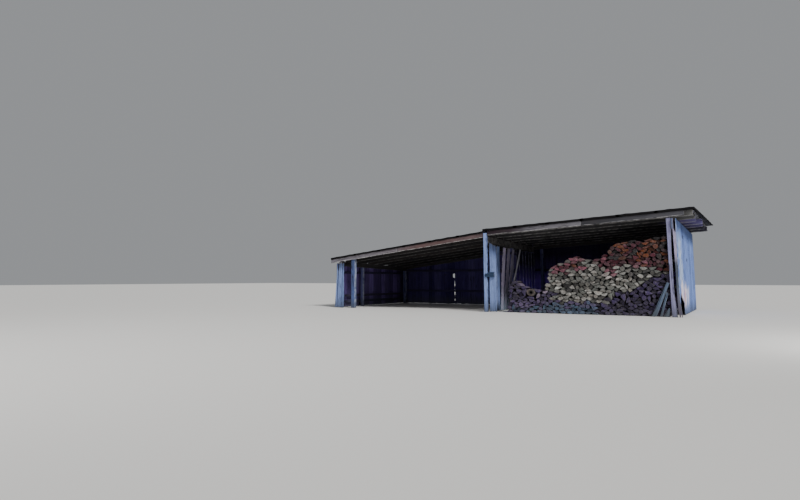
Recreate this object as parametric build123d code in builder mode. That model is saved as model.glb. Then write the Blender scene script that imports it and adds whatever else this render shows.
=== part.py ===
from math import sqrt
import os
from build123d import *

os.makedirs("parts", exist_ok=True)

# whole shed, measured from the middle post at x 0 and the front at y 0
left_x = -5330.0
right_x = 5070.0
depth = 4400.0

# roof lines: underside of the front edge boards at the front
left_low = 1478.0
left_high = 2138.0
right_low = 2174.0
right_high = 2470.0
fall = 0.0273
left_edge_deep = 140.0
right_edge_deep = 150.0
left_over = 220.0
right_over = 420.0
back_over = 50.0
step_lap = 80.0
deck_left_thick = 20.0
deck_right_thick = 25.0
cover_left_thick = 20.0
cover_right_thick = 25.0
cover_past_side = 10.0
cover_past_corner = 215.0
cover_past_front = 15.0
cover_past_back = 50.0
cover_left_lip = 35.0
cover_right_lip = 50.0
cut_room = 50.0

# timber sizes
board = 25.0
post = 110.0
girt_thick = 100.0
girt_high = 80.0
rafter_wide = 50.0
left_rafter_deep = 115.0
right_rafter_deep = 150.0
rafter_first = 75.0
rafter_tails = (410.0, 395.0, 360.0, 470.0, 430.0, 410.0, 450.0)
header_wide = 150.0
left_header_deep = 150.0
middle_header_deep = 190.0
right_header_deep = 180.0
plate_deep = 100.0
board_gap = 4.0
board_widths = (255.0, 300.0, 270.0, 285.0, 245.0)
board_least = 60.0
board_leftover = 90.0

# things that stand by themselves
left_front_post = 145.0
left_front_post_deep = 130.0
left_front_post_x = left_x + 580.0
corner_tops = ((45.0, 90.0), (94.0, 238.0), (242.0, 306.0))
corner_feet = ((-48.0, 38.0), (42.0, 230.0), (234.0, 324.0))
left_mid_post_y = 1210.0
middle_post_top = 2255.0
middle_post_front = -60.0
middle_board_x = 112.0
middle_board_wide = 210.0
middle_board_lean = 25.0
middle_board_top = 2010.0
middle_board_slant = 150.0
cleat_x = -12.0
cleat_wide = 295.0
cleat_high = 164.0
cleat_z = 974.0
cleat_neck = 110.0
cleat_neck_low = 17.0
cleat_neck_high = 108.0
partition_mid_y = 2100.0
partition_board_gap = 30.0
partition_board_top = 1960.0
partition_leaning = ((310.0, 270.0, 10.0), (615.0, 270.0, 40.0), (895.0, 262.0, 300.0), (1170.0, 258.0, 430.0), (1440.0, 240.0, 560.0))
partition_upright_first = 2380.0
stick_wide = 50.0
stick_foot_y = 1490.0
stick_lean = 1165.0
stick_high = 1895.0
right_mid_y = 2150.0
right_post_top_wide = 104.0
right_post_foot_wide = 126.0
right_post_lean = 28.0
trim_wide = 90.0
trim_top_wide = 70.0
trim_low = 305.0
trim_knee = 666.0
trim_foot_x = -62.0
trim_foot_past = 85.0
trim_flare = 45.0
top_cleat_wide = 88.0
top_cleat_high = 274.0
right_board_top = 2440.0
rot_high = 560.0
rot_end_y = 1100.0
rot_end_z = 130.0
rot_past = 100.0
rot_strip_y = 25.0
rot_strip_wide = 85.0
rot_strip_knee = 260.0
rot_strip_tip = 30.0
fascia_end_x = right_x + 200.0
left_joint_x = left_x + 2360.0
right_joint_x = right_x - 2320.0
left_board_top = 1490.0

left_girts_z = (150.0, 340.0, 1110.0)
right_girts_z = (700.0, 1350.0, 2040.0)
partition_girts_z = (380.0, 1120.0, 1700.0)
back_girts_z = (455.0, 1210.0)
back_wall_post_x = 290.0
slit_x = left_x + 2255.0
slit_wide = 30.0
slit_low = 120.0
hole_wide = 100.0
hole_low = 900.0
hole_high = 1175.0
hole_aside = -45.0

# planks leaning on the firewood at the right post: foot and width there, then top, its width, height and drop
plank_wide_one = (-447.0, 122.0, -48.0, 62.0, 870.0, 40.0)
plank_thin = (-255.0, 60.0, -72.0, 45.0, 620.0, 25.0)
plank_short = (-185.0, 150.0, -25.0, 20.0, 240.0, 20.0)

# firewood
stack_front = 60.0
stack_deep = 1200.0
heap_deep = 600.0
heap_end_x = 1340.0
heap_outline = (
    (560, 0), (590, 560), (635, 793), (755, 892), (931, 878), (1020, 770), (1102, 712), (1330, 645), (1340, 645),
)
stack_outline = (
    (1340, 0), (1340, 640), (1584, 661), (1672, 798), (1700, 900), (1766, 1125), (1852, 1233), (2049, 1339),
    (2188, 1419), (2326, 1497), (2462, 1562), (2595, 1533), (2724, 1464), (2933, 1447), (3115, 1497), (3272, 1585),
    (3406, 1765), (3510, 1841), (3662, 1888), (3836, 1909), (4009, 1942), (4201, 1923), (4393, 1942), (4561, 1999),
    (4678, 2008),
)
stack_end_high = 2003.0

left_slope = (left_high - left_low) / -left_x
right_slope = (right_high - right_low) / right_x
back_dir = (0, 1, -fall)
stretch = sqrt(1 + fall * fall)
left_in = left_x + board
right_in = right_x - board
back_in = depth - board
left_post_x = left_in + girt_thick
right_post_x = right_in - girt_thick - post
back_post_y = back_in - girt_thick - post
half = post / 2
low = (Align.MIN, Align.MIN, Align.MIN)


def left_line(x, up=0.0):
    return left_high + left_slope * x + up


def right_line(x, up=0.0):
    return right_low + right_slope * x + up


def across(y):
    return Plane(origin=(0, y, -fall * y), x_dir=(1, 0, 0), z_dir=(0, -1, 0))


def upright(y):
    return Plane(origin=(0, y, 0), x_dir=(1, 0, 0), z_dir=(0, -1, 0))


def side(x):
    return Plane(origin=(x, 0, 0), x_dir=(0, 1, 0), z_dir=(1, 0, 0))


def edges(start, end, widths=board_widths, gap=board_gap):
    found = []
    at = start
    turn = 0
    while at < end - board_least:
        stop = min(at + widths[turn % len(widths)], end)
        if end - stop < board_leftover:
            stop = end
        found.append((at, stop))
        at = stop + gap
        turn += 1
    return found


left_rafter_up = left_edge_deep - left_rafter_deep
right_rafter_up = right_edge_deep - right_rafter_deep
left_header_x = left_post_x + post - header_wide
left_header_bottom = left_line(left_header_x, left_rafter_up) - left_header_deep
right_header_bottom = right_line(right_post_x, right_rafter_up) - right_header_deep
front_post_drop = fall * (rafter_first + rafter_wide)
front_post_top = right_line(right_post_x, right_rafter_up) - front_post_drop
middle_header_bottom = left_line(-half, left_rafter_up) - middle_header_deep
back_girt_y = back_in - girt_thick
rafter_pitch = (back_girt_y - rafter_first) / (len(rafter_tails) - 1)
rafter_ys = [rafter_first + rafter_pitch * n for n in range(len(rafter_tails))]

# left end
with BuildPart() as left_corner_boards:
    for foot, top in zip(corner_feet, corner_tops):
        with BuildSketch(upright(0)):
            Polygon(
                (left_x + foot[0], 0), (left_x + foot[1], 0),
                (left_x + top[1], left_low), (left_x + top[0], left_low),
                align=None,
            )
        extrude(amount=board)
left_corner_boards.part.label = "left_corner_boards"
export_step(left_corner_boards.part, "parts/left_corner_boards.step")

left_post_ys = (0.0, left_mid_post_y, back_post_y)
left_post_names = ("left_corner_post", "left_mid_post", "left_back_post")
for name, y in zip(left_post_names, left_post_ys):
    with BuildPart() as left_post:
        with BuildSketch(side(left_post_x)):
            near = left_header_bottom - fall * y
            far = left_header_bottom - fall * (y + post)
            Polygon((y, 0), (y + post, 0), (y + post, far), (y, near), align=None)
        extrude(amount=post)
    left_post.part.label = name
    export_step(left_post.part, "parts/" + name + ".step")

with BuildPart() as left_front:
    with BuildSketch(upright(0)):
        x0 = left_front_post_x
        x1 = left_front_post_x + left_front_post
        top0 = left_line(x0, left_rafter_up) - front_post_drop
        top1 = left_line(x1, left_rafter_up) - front_post_drop
        Polygon((x0, 0), (x1, 0), (x1, top1), (x0, top0), align=None)
    extrude(amount=-left_front_post_deep)
left_front.part.label = "left_front_post"
export_step(left_front.part, "parts/left_front_post.step")

with BuildPart() as left_header:
    with BuildSketch(across(0)):
        x0 = left_header_x
        x1 = left_header_x + header_wide
        top0 = left_line(x0, left_rafter_up)
        top1 = left_line(x1, left_rafter_up)
        Polygon((x0, left_header_bottom), (x1, left_header_bottom), (x1, top1), (x0, top0), align=None)
    extrude(amount=(back_in - girt_thick) * stretch, dir=back_dir)
left_header.part.label = "left_header"
export_step(left_header.part, "parts/left_header.step")

with BuildPart() as left_girts:
    for z in left_girts_z:
        with Locations((left_in, 0, z)):
            Box(girt_thick, back_in, girt_high, align=low)
left_girts.part.label = "left_girts"
export_step(left_girts.part, "parts/left_girts.step")

with BuildPart() as left_wall_boards:
    for y0, y1 in edges(0, depth):
        with Locations((left_x, y0, 0)):
            Box(board, y1 - y0, left_board_top - fall * y0, align=low)
left_wall_boards.part.label = "left_wall_boards"
export_step(left_wall_boards.part, "parts/left_wall_boards.step")

# middle frame
with BuildPart() as middle_post:
    with Locations((-half, middle_post_front, 0)):
        Box(post, post, middle_post_top, align=low)
middle_post.part.label = "middle_post"
export_step(middle_post.part, "parts/middle_post.step")

middle_back = middle_post_front + post
with BuildPart() as middle_front_board:
    with BuildSketch(upright(0)):
        x0 = middle_board_x
        x1 = middle_board_x + middle_board_wide
        tip = middle_board_top - middle_board_slant
        Polygon((x0, 0), (x1, 0), (x1, tip), (x0 - middle_board_lean, middle_board_top), align=None)
    extrude(amount=board)
middle_front_board.part.label = "middle_front_board"
export_step(middle_front_board.part, "parts/middle_front_board.step")

with BuildPart() as cross_cleat:
    with BuildSketch(upright(middle_post_front)):
        x0 = cleat_x
        x1 = cleat_x + cleat_neck
        x2 = cleat_x + cleat_wide
        Polygon(
            (x0, cleat_z + cleat_neck_low), (x1, cleat_z), (x2, cleat_z),
            (x2, cleat_z + cleat_high), (x1, cleat_z + cleat_high), (x0, cleat_z + cleat_neck_high),
            align=None,
        )
    extrude(amount=board)
    with Locations((cleat_x + cleat_neck, middle_post_front, cleat_z)):
        Box(cleat_wide - cleat_neck, -board - middle_post_front, cleat_high, align=low)
cross_cleat.part.label = "cross_cleat"
export_step(cross_cleat.part, "parts/cross_cleat.step")

for name, y in (("partition_mid_post", partition_mid_y), ("partition_back_post", back_post_y)):
    with BuildPart() as partition_post:
        with BuildSketch(side(-half)):
            near = middle_header_bottom - fall * y
            far = middle_header_bottom - fall * (y + post)
            Polygon((y, 0), (y + post, 0), (y + post, far), (y, near), align=None)
        extrude(amount=post)
    partition_post.part.label = name
    export_step(partition_post.part, "parts/" + name + ".step")

with BuildPart() as partition_header:
    with BuildSketch(across(middle_back)):
        Polygon(
            (-half, middle_header_bottom),
            (half, middle_header_bottom),
            (half, right_line(half, right_rafter_up)),
            (0, right_line(0, right_rafter_up)),
            (0, left_line(0, left_rafter_up)),
            (-half, left_line(-half, left_rafter_up)),
            align=None,
        )
    extrude(amount=(back_in - girt_thick - middle_back) * stretch, dir=back_dir)
partition_header.part.label = "partition_header"
export_step(partition_header.part, "parts/partition_header.step")

with BuildPart() as partition_girts:
    for z in partition_girts_z:
        with Locations((0, middle_back, z)):
            Box(half, partition_mid_y - middle_back, girt_high, align=low)
        with Locations((0, partition_mid_y + post, z)):
            Box(half, back_post_y - partition_mid_y - post, girt_high, align=low)
partition_girts.part.label = "partition_girts"
export_step(partition_girts.part, "parts/partition_girts.step")

with BuildPart() as partition_boards:
    for y0, wide, lean in partition_leaning:
        top = partition_board_top - fall * (y0 + lean)
        with BuildSketch(side(half)):
            Polygon((y0, 0), (y0 + wide, 0), (y0 + wide + lean, top), (y0 + lean, top), align=None)
        extrude(amount=board)
    for y0, y1 in edges(partition_upright_first, back_in - girt_thick, board_widths, partition_board_gap):
        with Locations((half, y0, 0)):
            Box(board, y1 - y0, partition_board_top - fall * y0, align=low)
partition_boards.part.label = "partition_boards"
export_step(partition_boards.part, "parts/partition_boards.step")

with BuildPart() as leaning_stick:
    with BuildSketch(side(half + board)):
        y0 = stick_foot_y
        y1 = stick_foot_y + stick_lean
        Polygon((y0, 0), (y0 + stick_wide, 0), (y1 + stick_wide, stick_high), (y1, stick_high), align=None)
    extrude(amount=stick_wide)
leaning_stick.part.label = "leaning_stick"
export_step(leaning_stick.part, "parts/leaning_stick.step")

# right end
with BuildPart() as right_front_post:
    with BuildSketch(upright(0)):
        x0 = right_post_x
        x1 = right_post_x + right_post_lean
        top1 = right_line(x0 + right_post_top_wide, right_rafter_up) - front_post_drop
        Polygon((x1, 0), (x1 + right_post_foot_wide, 0), (x0 + right_post_top_wide, top1), (x0, front_post_top), align=None)
    extrude(amount=-post)
right_front_post.part.label = "right_front_post"
export_step(right_front_post.part, "parts/right_front_post.step")

right_posts = (("right_mid_post", right_mid_y), ("right_back_post", back_post_y))
for name, y in right_posts:
    with BuildPart() as right_post:
        with BuildSketch(side(right_post_x)):
            near = right_header_bottom - fall * y
            far = right_header_bottom - fall * (y + post)
            Polygon((y, 0), (y + post, 0), (y + post, far), (y, near), align=None)
        extrude(amount=post)
    right_post.part.label = name
    export_step(right_post.part, "parts/" + name + ".step")

with BuildPart() as right_header:
    with BuildSketch(across(post)):
        x0 = right_post_x
        x1 = right_post_x + header_wide
        top0 = right_line(x0, right_rafter_up)
        top1 = right_line(x1, right_rafter_up)
        Polygon((x0, right_header_bottom), (x1, right_header_bottom), (x1, top1), (x0, top0), align=None)
    extrude(amount=(back_in - girt_thick - post) * stretch, dir=back_dir)
right_header.part.label = "right_header"
export_step(right_header.part, "parts/right_header.step")

with BuildPart() as right_girts:
    for z in right_girts_z:
        with Locations((right_in - girt_thick, post, z)):
            Box(girt_thick, back_in - post, girt_high, align=low)
right_girts.part.label = "right_girts"
export_step(right_girts.part, "parts/right_girts.step")

with BuildPart() as right_wall_boards:
    for y0, y1 in edges(0, depth):
        foot0 = 0.0
        foot1 = 0.0
        if y1 < rot_end_y + rot_past:
            foot0 = rot_high + (rot_end_z - rot_high) * y0 / rot_end_y
            foot1 = rot_high + (rot_end_z - rot_high) * y1 / rot_end_y
        top = right_board_top - fall * y0
        with BuildSketch(side(right_in)):
            Polygon((y0, foot0), (y1, foot1), (y1, top), (y0, top), align=None)
        extrude(amount=board)
    with BuildSketch(side(right_in)):
        y0 = rot_strip_y
        y1 = rot_strip_y + rot_strip_wide
        tip = y0 + rot_strip_tip / 2
        Polygon((y0, rot_high), (tip, 0), (tip + rot_strip_tip, 0), (y1, rot_strip_knee), (y1, rot_high), align=None)
    extrude(amount=board)
right_wall_boards.part.label = "right_wall_boards"
export_step(right_wall_boards.part, "parts/right_wall_boards.step")

with BuildPart() as right_trim_board:
    with BuildSketch(upright(0)):
        x0 = right_x - trim_wide
        x1 = x0 + trim_top_wide
        foot = right_x + trim_foot_x
        past = right_x + trim_foot_past
        Polygon(
            (foot, 0), (past, 0), (past - trim_flare, trim_low), (x1, trim_knee),
            (x1, right_board_top), (x0, right_board_top),
            align=None,
        )
    extrude(amount=board)
right_trim_board.part.label = "right_trim_board"
export_step(right_trim_board.part, "parts/right_trim_board.step")

with BuildPart() as right_top_cleat:
    with Locations((right_x - trim_wide - board, -2 * board, right_board_top - top_cleat_high)):
        Box(top_cleat_wide, board, top_cleat_high, align=low)
right_top_cleat.part.label = "right_top_cleat"
export_step(right_top_cleat.part, "parts/right_top_cleat.step")

# back wall
with BuildPart() as back_wall_post:
    with Locations((back_wall_post_x, back_post_y, 0)):
        Box(post, post, right_line(back_wall_post_x, right_rafter_up - plate_deep) - fall * back_in, align=low)
back_wall_post.part.label = "back_wall_post"
export_step(back_wall_post.part, "parts/back_wall_post.step")

with BuildPart() as back_plate_left:
    with BuildSketch(across(back_girt_y)):
        Polygon(
            (left_in, left_line(left_in, left_rafter_up - plate_deep)),
            (0, left_line(0, left_rafter_up - plate_deep)),
            (0, left_line(0, left_rafter_up)),
            (left_in, left_line(left_in, left_rafter_up)),
            align=None,
        )
    extrude(amount=girt_thick * stretch, dir=back_dir)
back_plate_left.part.label = "back_plate_left"
export_step(back_plate_left.part, "parts/back_plate_left.step")

with BuildPart() as back_plate_right:
    with BuildSketch(across(back_girt_y)):
        Polygon(
            (0, right_line(0, right_rafter_up - plate_deep)),
            (right_in, right_line(right_in, right_rafter_up - plate_deep)),
            (right_in, right_line(right_in, right_rafter_up)),
            (0, right_line(0, right_rafter_up)),
            align=None,
        )
    extrude(amount=girt_thick * stretch, dir=back_dir)
back_plate_right.part.label = "back_plate_right"
export_step(back_plate_right.part, "parts/back_plate_right.step")

with BuildPart() as back_girts_left:
    for z in back_girts_z:
        with Locations((left_in + girt_thick, back_girt_y, z)):
            Box(-left_in - girt_thick, girt_thick, girt_high, align=low)
back_girts_left.part.label = "back_girts_left"
export_step(back_girts_left.part, "parts/back_girts_left.step")

with BuildPart() as back_girts_right:
    for z in back_girts_z:
        with Locations((0, back_girt_y, z)):
            Box(right_in - girt_thick, girt_thick, girt_high, align=low)
back_girts_right.part.label = "back_girts_right"
export_step(back_girts_right.part, "parts/back_girts_right.step")

with BuildPart() as back_boards_left:
    spans = edges(left_in, slit_x - board_gap / 2) + edges(slit_x + board_gap / 2, 0)
    for x0, x1 in spans:
        top0 = left_line(x0, left_edge_deep) - fall * depth
        top1 = left_line(x1, left_edge_deep) - fall * depth
        with BuildSketch(upright(back_in)):
            Polygon((x0, 0), (x1, 0), (x1, top1), (x0, top0), align=None)
        extrude(amount=-board)
    with BuildSketch(upright(back_in)):
        with Locations((slit_x, (slit_low + hole_low) / 2)):
            Rectangle(slit_wide, hole_low - slit_low)
        with Locations((slit_x + hole_aside, (hole_low + hole_high) / 2)):
            Rectangle(hole_wide, hole_high - hole_low)
    extrude(amount=-board, mode=Mode.SUBTRACT)
back_boards_left.part.label = "back_boards_left"
export_step(back_boards_left.part, "parts/back_boards_left.step")

with BuildPart() as back_boards_right:
    for x0, x1 in edges(board_gap, right_in):
        top0 = right_line(x0, right_edge_deep) - fall * depth
        top1 = right_line(x1, right_edge_deep) - fall * depth
        with BuildSketch(upright(back_in)):
            Polygon((x0, 0), (x1, 0), (x1, top1), (x0, top0), align=None)
        extrude(amount=-board)
back_boards_right.part.label = "back_boards_right"
export_step(back_boards_right.part, "parts/back_boards_right.step")

# roof
left_tip = left_x - left_over
right_tip = right_x + right_over
with BuildPart() as left_rafters:
    for y in rafter_ys:
        with BuildSketch(across(y)):
            Polygon(
                (left_tip, left_line(left_tip, left_rafter_up)),
                (0, left_line(0, left_rafter_up)),
                (0, left_line(0, left_edge_deep)),
                (left_tip, left_line(left_tip, left_edge_deep)),
                align=None,
            )
        extrude(amount=rafter_wide * stretch, dir=back_dir)
left_rafters.part.label = "left_rafters"
export_step(left_rafters.part, "parts/left_rafters.step")

with BuildPart() as right_rafters:
    for y, tail in zip(rafter_ys, rafter_tails):
        tail_x = right_x + tail
        with BuildSketch(across(y)):
            Polygon(
                (0, right_line(0, right_rafter_up)),
                (tail_x, right_line(tail_x, right_rafter_up)),
                (tail_x, right_line(tail_x, right_edge_deep)),
                (0, right_line(0, right_edge_deep)),
                align=None,
            )
        extrude(amount=rafter_wide * stretch, dir=back_dir)
right_rafters.part.label = "right_rafters"
export_step(right_rafters.part, "parts/right_rafters.step")

with BuildPart() as left_fascia:
    for x0, x1 in ((left_tip, left_joint_x), (left_joint_x + board_gap, -half)):
        with BuildSketch(across(-board)):
            Polygon(
                (x0, left_line(x0)), (x1, left_line(x1)),
                (x1, left_line(x1, left_edge_deep)), (x0, left_line(x0, left_edge_deep)),
                align=None,
            )
        extrude(amount=board * stretch, dir=back_dir)
left_fascia.part.label = "left_fascia"
export_step(left_fascia.part, "parts/left_fascia.step")

with BuildPart() as right_fascia:
    for x0, x1 in ((half, right_joint_x), (right_joint_x + board_gap, fascia_end_x)):
        with BuildSketch(across(-board)):
            Polygon(
                (x0, right_line(x0)), (x1, right_line(x1)),
                (x1, right_line(x1, right_edge_deep)), (x0, right_line(x0, right_edge_deep)),
                align=None,
            )
        extrude(amount=board * stretch, dir=back_dir)
right_fascia.part.label = "right_fascia"
export_step(right_fascia.part, "parts/right_fascia.step")

deck_long = depth + back_over + board
with BuildPart() as left_deck:
    with BuildSketch(across(-board)):
        up0 = left_edge_deep
        up1 = left_edge_deep + deck_left_thick
        Polygon(
            (left_tip, left_line(left_tip, up0)), (0, left_line(0, up0)),
            (0, left_line(0, up1)), (left_tip, left_line(left_tip, up1)),
            align=None,
        )
    extrude(amount=deck_long * stretch, dir=back_dir)
left_deck.part.label = "left_deck"
export_step(left_deck.part, "parts/left_deck.step")

with BuildPart() as right_deck:
    with BuildSketch(across(-board)):
        up0 = right_edge_deep
        up1 = right_edge_deep + deck_right_thick
        Polygon(
            (-step_lap, right_line(-step_lap, up0)), (right_tip, right_line(right_tip, up0)),
            (right_tip, right_line(right_tip, up1)), (-step_lap, right_line(-step_lap, up1)),
            align=None,
        )
    extrude(amount=deck_long * stretch, dir=back_dir)
right_deck.part.label = "right_deck"
export_step(right_deck.part, "parts/right_deck.step")

cover_front = board + cover_past_front
cover_long = depth + back_over + cover_past_back + cover_front
with BuildPart() as left_covering:
    with BuildSketch(across(-cover_front)):
        x0 = left_tip - cover_past_front
        up0 = left_edge_deep + deck_left_thick
        up1 = up0 + cover_left_thick
        Polygon(
            (x0, left_line(x0, up0)), (0, left_line(0, up0)),
            (0, left_line(0, up1)), (x0, left_line(x0, up1)),
            align=None,
        )
    extrude(amount=cover_long * stretch, dir=back_dir)
    with BuildSketch(across(-cover_front)):
        Polygon(
            (x0, left_line(x0, up0 - cover_left_lip)), (-half, left_line(-half, up0 - cover_left_lip)),
            (-half, left_line(-half, up0)), (x0, left_line(x0, up0)),
            align=None,
        )
    extrude(amount=cover_past_front * stretch, dir=back_dir)
left_covering.part.label = "left_covering"
export_step(left_covering.part, "parts/left_covering.step")

with BuildPart() as right_covering:
    with BuildSketch(across(-cover_front)):
        x1 = right_tip + cover_past_corner
        up0 = right_edge_deep + deck_right_thick
        up1 = up0 + cover_right_thick
        Polygon(
            (-step_lap, right_line(-step_lap, up0)), (x1, right_line(x1, up0)),
            (x1, right_line(x1, up1)), (-step_lap, right_line(-step_lap, up1)),
            align=None,
        )
    extrude(amount=cover_long * stretch, dir=back_dir)
    with BuildSketch(Plane.XY):
        y0 = -cover_front
        y1 = y0 + cover_long
        Polygon((right_tip + cover_past_side, y0), (x1, y1), (x1 + cut_room, y1), (x1 + cut_room, y0), align=None)
    extrude(amount=right_high + depth, mode=Mode.SUBTRACT)
    with BuildSketch(across(-cover_front)):
        x1 = right_tip + cover_past_side
        Polygon(
            (half, right_line(half, up0 - cover_right_lip)), (x1, right_line(x1, up0 - cover_right_lip)),
            (x1, right_line(x1, up0)), (half, right_line(half, up0)),
            align=None,
        )
    extrude(amount=cover_past_front * stretch, dir=back_dir)
right_covering.part.label = "right_covering"
export_step(right_covering.part, "parts/right_covering.step")

# firewood
with BuildPart() as log_heap:
    with BuildSketch(upright(stack_front)):
        Polygon(*heap_outline, (heap_end_x, 0), align=None)
    extrude(amount=-heap_deep)
log_heap.part.label = "log_heap"
export_step(log_heap.part, "parts/log_heap.step")

with BuildPart() as log_stack:
    with BuildSketch(upright(stack_front)):
        end_x = right_post_x + right_post_lean * (1 - stack_end_high / front_post_top)
        Polygon(*stack_outline, (end_x, stack_end_high), (right_post_x + right_post_lean, 0), align=None)
    extrude(amount=-stack_deep)
log_stack.part.label = "log_stack"
export_step(log_stack.part, "parts/log_stack.step")

with BuildPart() as leaning_planks:
    planks = ((plank_wide_one, 2 * board), (plank_thin, board), (plank_short, board))
    for plank, out in planks:
        foot, foot_wide, top, top_wide, high, drop = plank
        with BuildSketch(upright(stack_front - out)):
            Polygon(
                (right_post_x + foot, 0), (right_post_x + foot + foot_wide, 0),
                (right_post_x + top + top_wide, high - drop), (right_post_x + top, high),
                align=None,
            )
        extrude(amount=-board)
leaning_planks.part.label = "leaning_planks"
export_step(leaning_planks.part, "parts/leaning_planks.step")
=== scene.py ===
import math
import random
import bpy
import numpy as np
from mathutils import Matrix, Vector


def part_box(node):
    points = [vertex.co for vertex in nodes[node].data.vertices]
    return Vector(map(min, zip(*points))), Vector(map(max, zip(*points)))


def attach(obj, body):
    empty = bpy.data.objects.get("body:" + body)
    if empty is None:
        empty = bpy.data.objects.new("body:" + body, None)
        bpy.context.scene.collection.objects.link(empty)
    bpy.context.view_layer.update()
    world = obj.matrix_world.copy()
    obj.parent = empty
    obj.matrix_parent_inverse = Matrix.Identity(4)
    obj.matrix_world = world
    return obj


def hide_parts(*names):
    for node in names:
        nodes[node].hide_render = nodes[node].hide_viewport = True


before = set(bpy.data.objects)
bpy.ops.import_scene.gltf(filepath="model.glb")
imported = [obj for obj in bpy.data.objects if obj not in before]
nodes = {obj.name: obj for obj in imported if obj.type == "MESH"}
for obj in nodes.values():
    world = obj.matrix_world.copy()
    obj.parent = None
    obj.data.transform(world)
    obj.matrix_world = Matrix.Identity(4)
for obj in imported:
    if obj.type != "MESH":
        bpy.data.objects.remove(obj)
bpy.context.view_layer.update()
print("frame loaded with", len(nodes), "CAD nodes")


# small helpers for shader nodes; t is the node tree they go into
def rgb(*screen):
    # screen colour 0..255 to the linear colour that shaders take
    shares = [c / 255 for c in screen]
    return (*(c / 12.92 if c <= 0.04045 else ((c + 0.055) / 1.055) ** 2.4 for c in shares), 1.0)


def fillInputs(t, node, inputs):
    for key, value in inputs.items():
        if isinstance(value, bpy.types.NodeSocket):
            t.links.new(value, node.inputs[key])
        else:
            node.inputs[key].default_value = value


def put(t, kind, inputs=None, **settings):
    node = t.nodes.new("ShaderNode" + kind)
    for key, value in settings.items():
        setattr(node, key, value)
    fillInputs(t, node, inputs or {})
    return node.outputs


def maths(t, operation, a, b=0.0):
    return put(t, "Math", {0: a, 1: b}, operation=operation)[0]


def plus(t, a, b):
    return maths(t, "ADD", a, b)


def minus(t, a, b):
    return maths(t, "SUBTRACT", a, b)


def times(t, a, b):
    return maths(t, "MULTIPLY", a, b)


def remap(t, value, low, high, toLow=0.0, toHigh=1.0):
    inputs = {"Value": value, "From Min": low, "From Max": high, "To Min": toLow, "To Max": toHigh}
    return put(t, "MapRange", inputs, clamp=True)[0]


def mixColour(t, share, a, b, blend="MIX"):
    return put(t, "Mix", {0: share, 6: a, 7: b}, data_type="RGBA", blend_type=blend)[2]


def overlay(t, colour, layers):
    # paints each layer's colour over the ones below, by its share
    for share, paint in layers:
        colour = mixColour(t, share, colour, paint)
    return colour


def scaleVector(t, vector, x, y, z):
    factors = put(t, "CombineXYZ", {0: x, 1: y, 2: z})[0]
    return put(t, "VectorMath", {0: vector, 1: factors}, operation="MULTIPLY")[0]


def noiseOf(t, vector, scale, detail=4.0, rough=0.6, warp=0.0):
    inputs = {"Vector": vector, "Scale": scale, "Detail": detail, "Roughness": rough, "Distortion": warp}
    return put(t, "TexNoise", inputs)[0]


def attribute(t, name, output="Fac"):
    return put(t, "Attribute", attribute_name=name)[output]


def newGroup(name, inputs):
    # a value of None makes a vector input
    t = bpy.data.node_groups.new(name, "ShaderNodeTree")
    for label, value in inputs.items():
        kind = "NodeSocketVector" if value is None else "NodeSocketFloat"
        socket = t.interface.new_socket(label, in_out="INPUT", socket_type=kind)
        if value is not None:
            socket.default_value = value
    return t, t.nodes.new("NodeGroupInput").outputs


def closeGroup(t, results):
    for label in results:
        t.interface.new_socket(label, in_out="OUTPUT", socket_type="NodeSocketFloat")
    fillInputs(t, t.nodes.new("NodeGroupOutput"), results)
    return t


def useGroup(t, group, inputs):
    return put(t, "Group", inputs, node_tree=group)


# effects shared by several materials
# grain running along the first coordinate of the vector
t, given = newGroup("woodGrain", {"Vector": None, "Scale": 1.0, "Stretch": 16.0})
across = times(t, given["Scale"], given["Stretch"])
stretched = scaleVector(t, given["Vector"], given["Scale"], across, across)
broad = remap(t, noiseOf(t, stretched, 1.3, 7.0, 0.62, 0.5), 0.32, 0.68)
fibres = remap(t, noiseOf(t, stretched, 6.5, 4.0, 0.7, 0.3), 0.3, 0.7)
height = plus(t, times(t, broad, 0.55), times(t, fibres, 0.45))
woodGrain = closeGroup(t, {"Streaks": broad, "Fine": fibres, "Height": height})

# long dry splits along the grain, and sparse knots
t, given = newGroup("woodFaults", {
    "Vector": None, "Crack Width": 0.02, "Knot Density": 1.4, "Knot Size": 0.1,
})
line = noiseOf(t, scaleVector(t, given["Vector"], 0.55, 13.0, 13.0), 1.0, 3.0, 0.5, 0.25)
cracks = remap(t, maths(t, "ABSOLUTE", minus(t, line, 0.5)), 0.0, given["Crack Width"], 1.0, 0.0)
gate = remap(t, noiseOf(t, given["Vector"], 2.2, 2.0), 0.47, 0.56)
cellPlace = scaleVector(t, given["Vector"], 1.0, 1.7, 1.7)
cells = put(t, "TexVoronoi", {"Vector": cellPlace, "Scale": given["Knot Density"]})
knots = maths(t, "POWER", remap(t, cells["Distance"], 0.0, given["Knot Size"], 1.0, 0.0), 0.6)
keep = remap(t, put(t, "SeparateColor", {0: cells["Color"]})[0], 0.45, 0.5)
woodFaults = closeGroup(t, {"Cracks": times(t, cracks, gate), "Knots": times(t, knots, keep)})

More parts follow.
